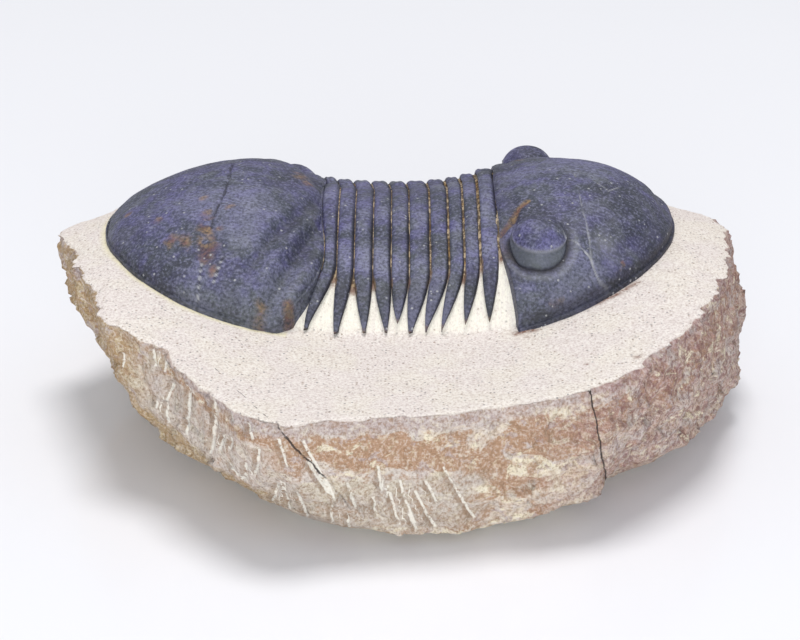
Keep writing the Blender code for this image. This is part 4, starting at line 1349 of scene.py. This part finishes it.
def area_light(name, place, size, power, colour):
    """A round lamp that points at the specimen."""
    data = bpy.data.lights.new(name, 'AREA')
    data.shape = 'DISK'
    data.size = size
    data.energy = power
    data.color = colour
    lamp = new_object(name, data)
    lamp.location = place
    lamp.rotation_euler = (LIGHT_AIM - Vector(place)).to_track_quat('-Z', 'Y').to_euler()


def build_stage(sizes):
    """The floor, the even light, two lamps and the camera."""
    scene = bpy.context.scene
    floor_mesh = bpy.data.meshes.new("studio_floor")
    corners = [(x * FLOOR_HALF, y * FLOOR_HALF, 0.0) for x, y in ((-1, -1), (1, -1), (1, 1), (-1, 1))]
    floor_mesh.from_pydata(corners, [], [(0, 1, 2, 3)])
    floor = new_object("studio_floor", floor_mesh)
    s = Surface("studio_floor", sizes)
    s.shader.inputs["Specular IOR Level"].default_value = 0.35
    s.put(s.shader.inputs["Base Color"], rgb(sizes.floor_colour))
    s.put(s.shader.inputs["Roughness"], 0.16 + 0.08 * s.lumps(60.0, 2.0))
    floor_mesh.materials.append(s.material)

    world = bpy.data.worlds.new("studio")
    world.use_nodes = True
    sky = world.node_tree.nodes["Background"]
    sky.inputs["Color"].default_value = SKY_COLOUR
    sky.inputs["Strength"].default_value = sizes.sky_light
    scene.world = world
    area_light("overhead", (0.05, 0.34, 1.8), 0.75, sizes.key_light, (1.0, 0.985, 0.965))
    area_light("front", (0.0, -1.05, 0.2), 0.6, sizes.front_light, (0.93, 0.98, 1.0))

    camera = new_object("camera", bpy.data.cameras.new("camera"))
    camera.data.lens = CAMERA_LENS
    camera.data.sensor_width = CAMERA_SENSOR
    camera.data.clip_start = 0.01
    away = Vector((0.0, -math.cos(CAMERA_ELEVATION), math.sin(CAMERA_ELEVATION)))
    camera.location = (Vector(CAMERA_AIM) + AXIS) * MM + CAMERA_DISTANCE * away
    camera.rotation_euler = (0.5 * math.pi - CAMERA_ELEVATION, 0.0, 0.0)
    scene.camera = camera
    scene.view_settings.view_transform = 'Standard'


# ---------------------------------------------------------------- the add-on

class TRILOBITE_OT_slab(bpy.types.Operator):
    """Build the limestone slab with its broken walls and prepared face"""

    bl_idname = "trilobite.slab"
    bl_label = "Matrix Slab"

    def execute(self, context):
        build_slab(context.scene.trilobite)
        return {'FINISHED'}


class TRILOBITE_OT_pygidium(bpy.types.Operator):
    """Build the tail plate"""

    bl_idname = "trilobite.pygidium"
    bl_label = "Pygidium"

    def execute(self, context):
        build_pygidium(context.scene.trilobite)
        return {'FINISHED'}


class TRILOBITE_OT_thorax(bpy.types.Operator):
    """Build the ten segments of the thorax"""

    bl_idname = "trilobite.thorax"
    bl_label = "Thoracic Segments"

    def execute(self, context):
        build_thorax(context.scene.trilobite)
        return {'FINISHED'}


class TRILOBITE_OT_cephalon(bpy.types.Operator):
    """Build the head plate with its eyes"""

    bl_idname = "trilobite.cephalon"
    bl_label = "Cephalon"

    def execute(self, context):
        build_cephalon(context.scene.trilobite)
        return {'FINISHED'}


class TRILOBITE_OT_grains(bpy.types.Operator):
    """Strew loose grains over the slab"""

    bl_idname = "trilobite.grains"
    bl_label = "Loose Grains"

    def execute(self, context):
        build_grains(context.scene.trilobite)
        return {'FINISHED'}


class TRILOBITE_OT_stage(bpy.types.Operator):
    """Set up the floor, the lights and the camera"""

    bl_idname = "trilobite.stage"
    bl_label = "Stage"

    def execute(self, context):
        build_stage(context.scene.trilobite)
        return {'FINISHED'}


OPERATORS = (TRILOBITE_OT_slab, TRILOBITE_OT_pygidium, TRILOBITE_OT_thorax, TRILOBITE_OT_cephalon,
             TRILOBITE_OT_grains, TRILOBITE_OT_stage)


class TRILOBITE_PT_panel(bpy.types.Panel):
    """Sizes, colours and pieces of the trilobite"""

    bl_idname = "TRILOBITE_PT_panel"
    bl_label = "Trilobite Fossil"
    bl_space_type = 'VIEW_3D'
    bl_region_type = 'UI'
    bl_category = "Trilobite"

    def draw(self, context):
        column = self.layout.column()
        for operator in OPERATORS:
            column.operator(operator.bl_idname)
        for name in TrilobiteSettings.__annotations__:
            column.prop(context.scene.trilobite, name)


CLASSES = (TrilobiteSettings,) + OPERATORS + (TRILOBITE_PT_panel,)


def register():
    for cls in CLASSES:
        bpy.utils.register_class(cls)
    bpy.types.Scene.trilobite = bpy.props.PointerProperty(type=TrilobiteSettings)


def unregister():
    del bpy.types.Scene.trilobite
    for cls in reversed(CLASSES):
        bpy.utils.unregister_class(cls)


def main():
    """Build every piece in order."""
    register()
    bpy.ops.trilobite.slab()
    bpy.ops.trilobite.pygidium()
    bpy.ops.trilobite.thorax()
    bpy.ops.trilobite.cephalon()
    bpy.ops.trilobite.grains()
    bpy.ops.trilobite.stage()


if __name__ == "__main__":
    main()
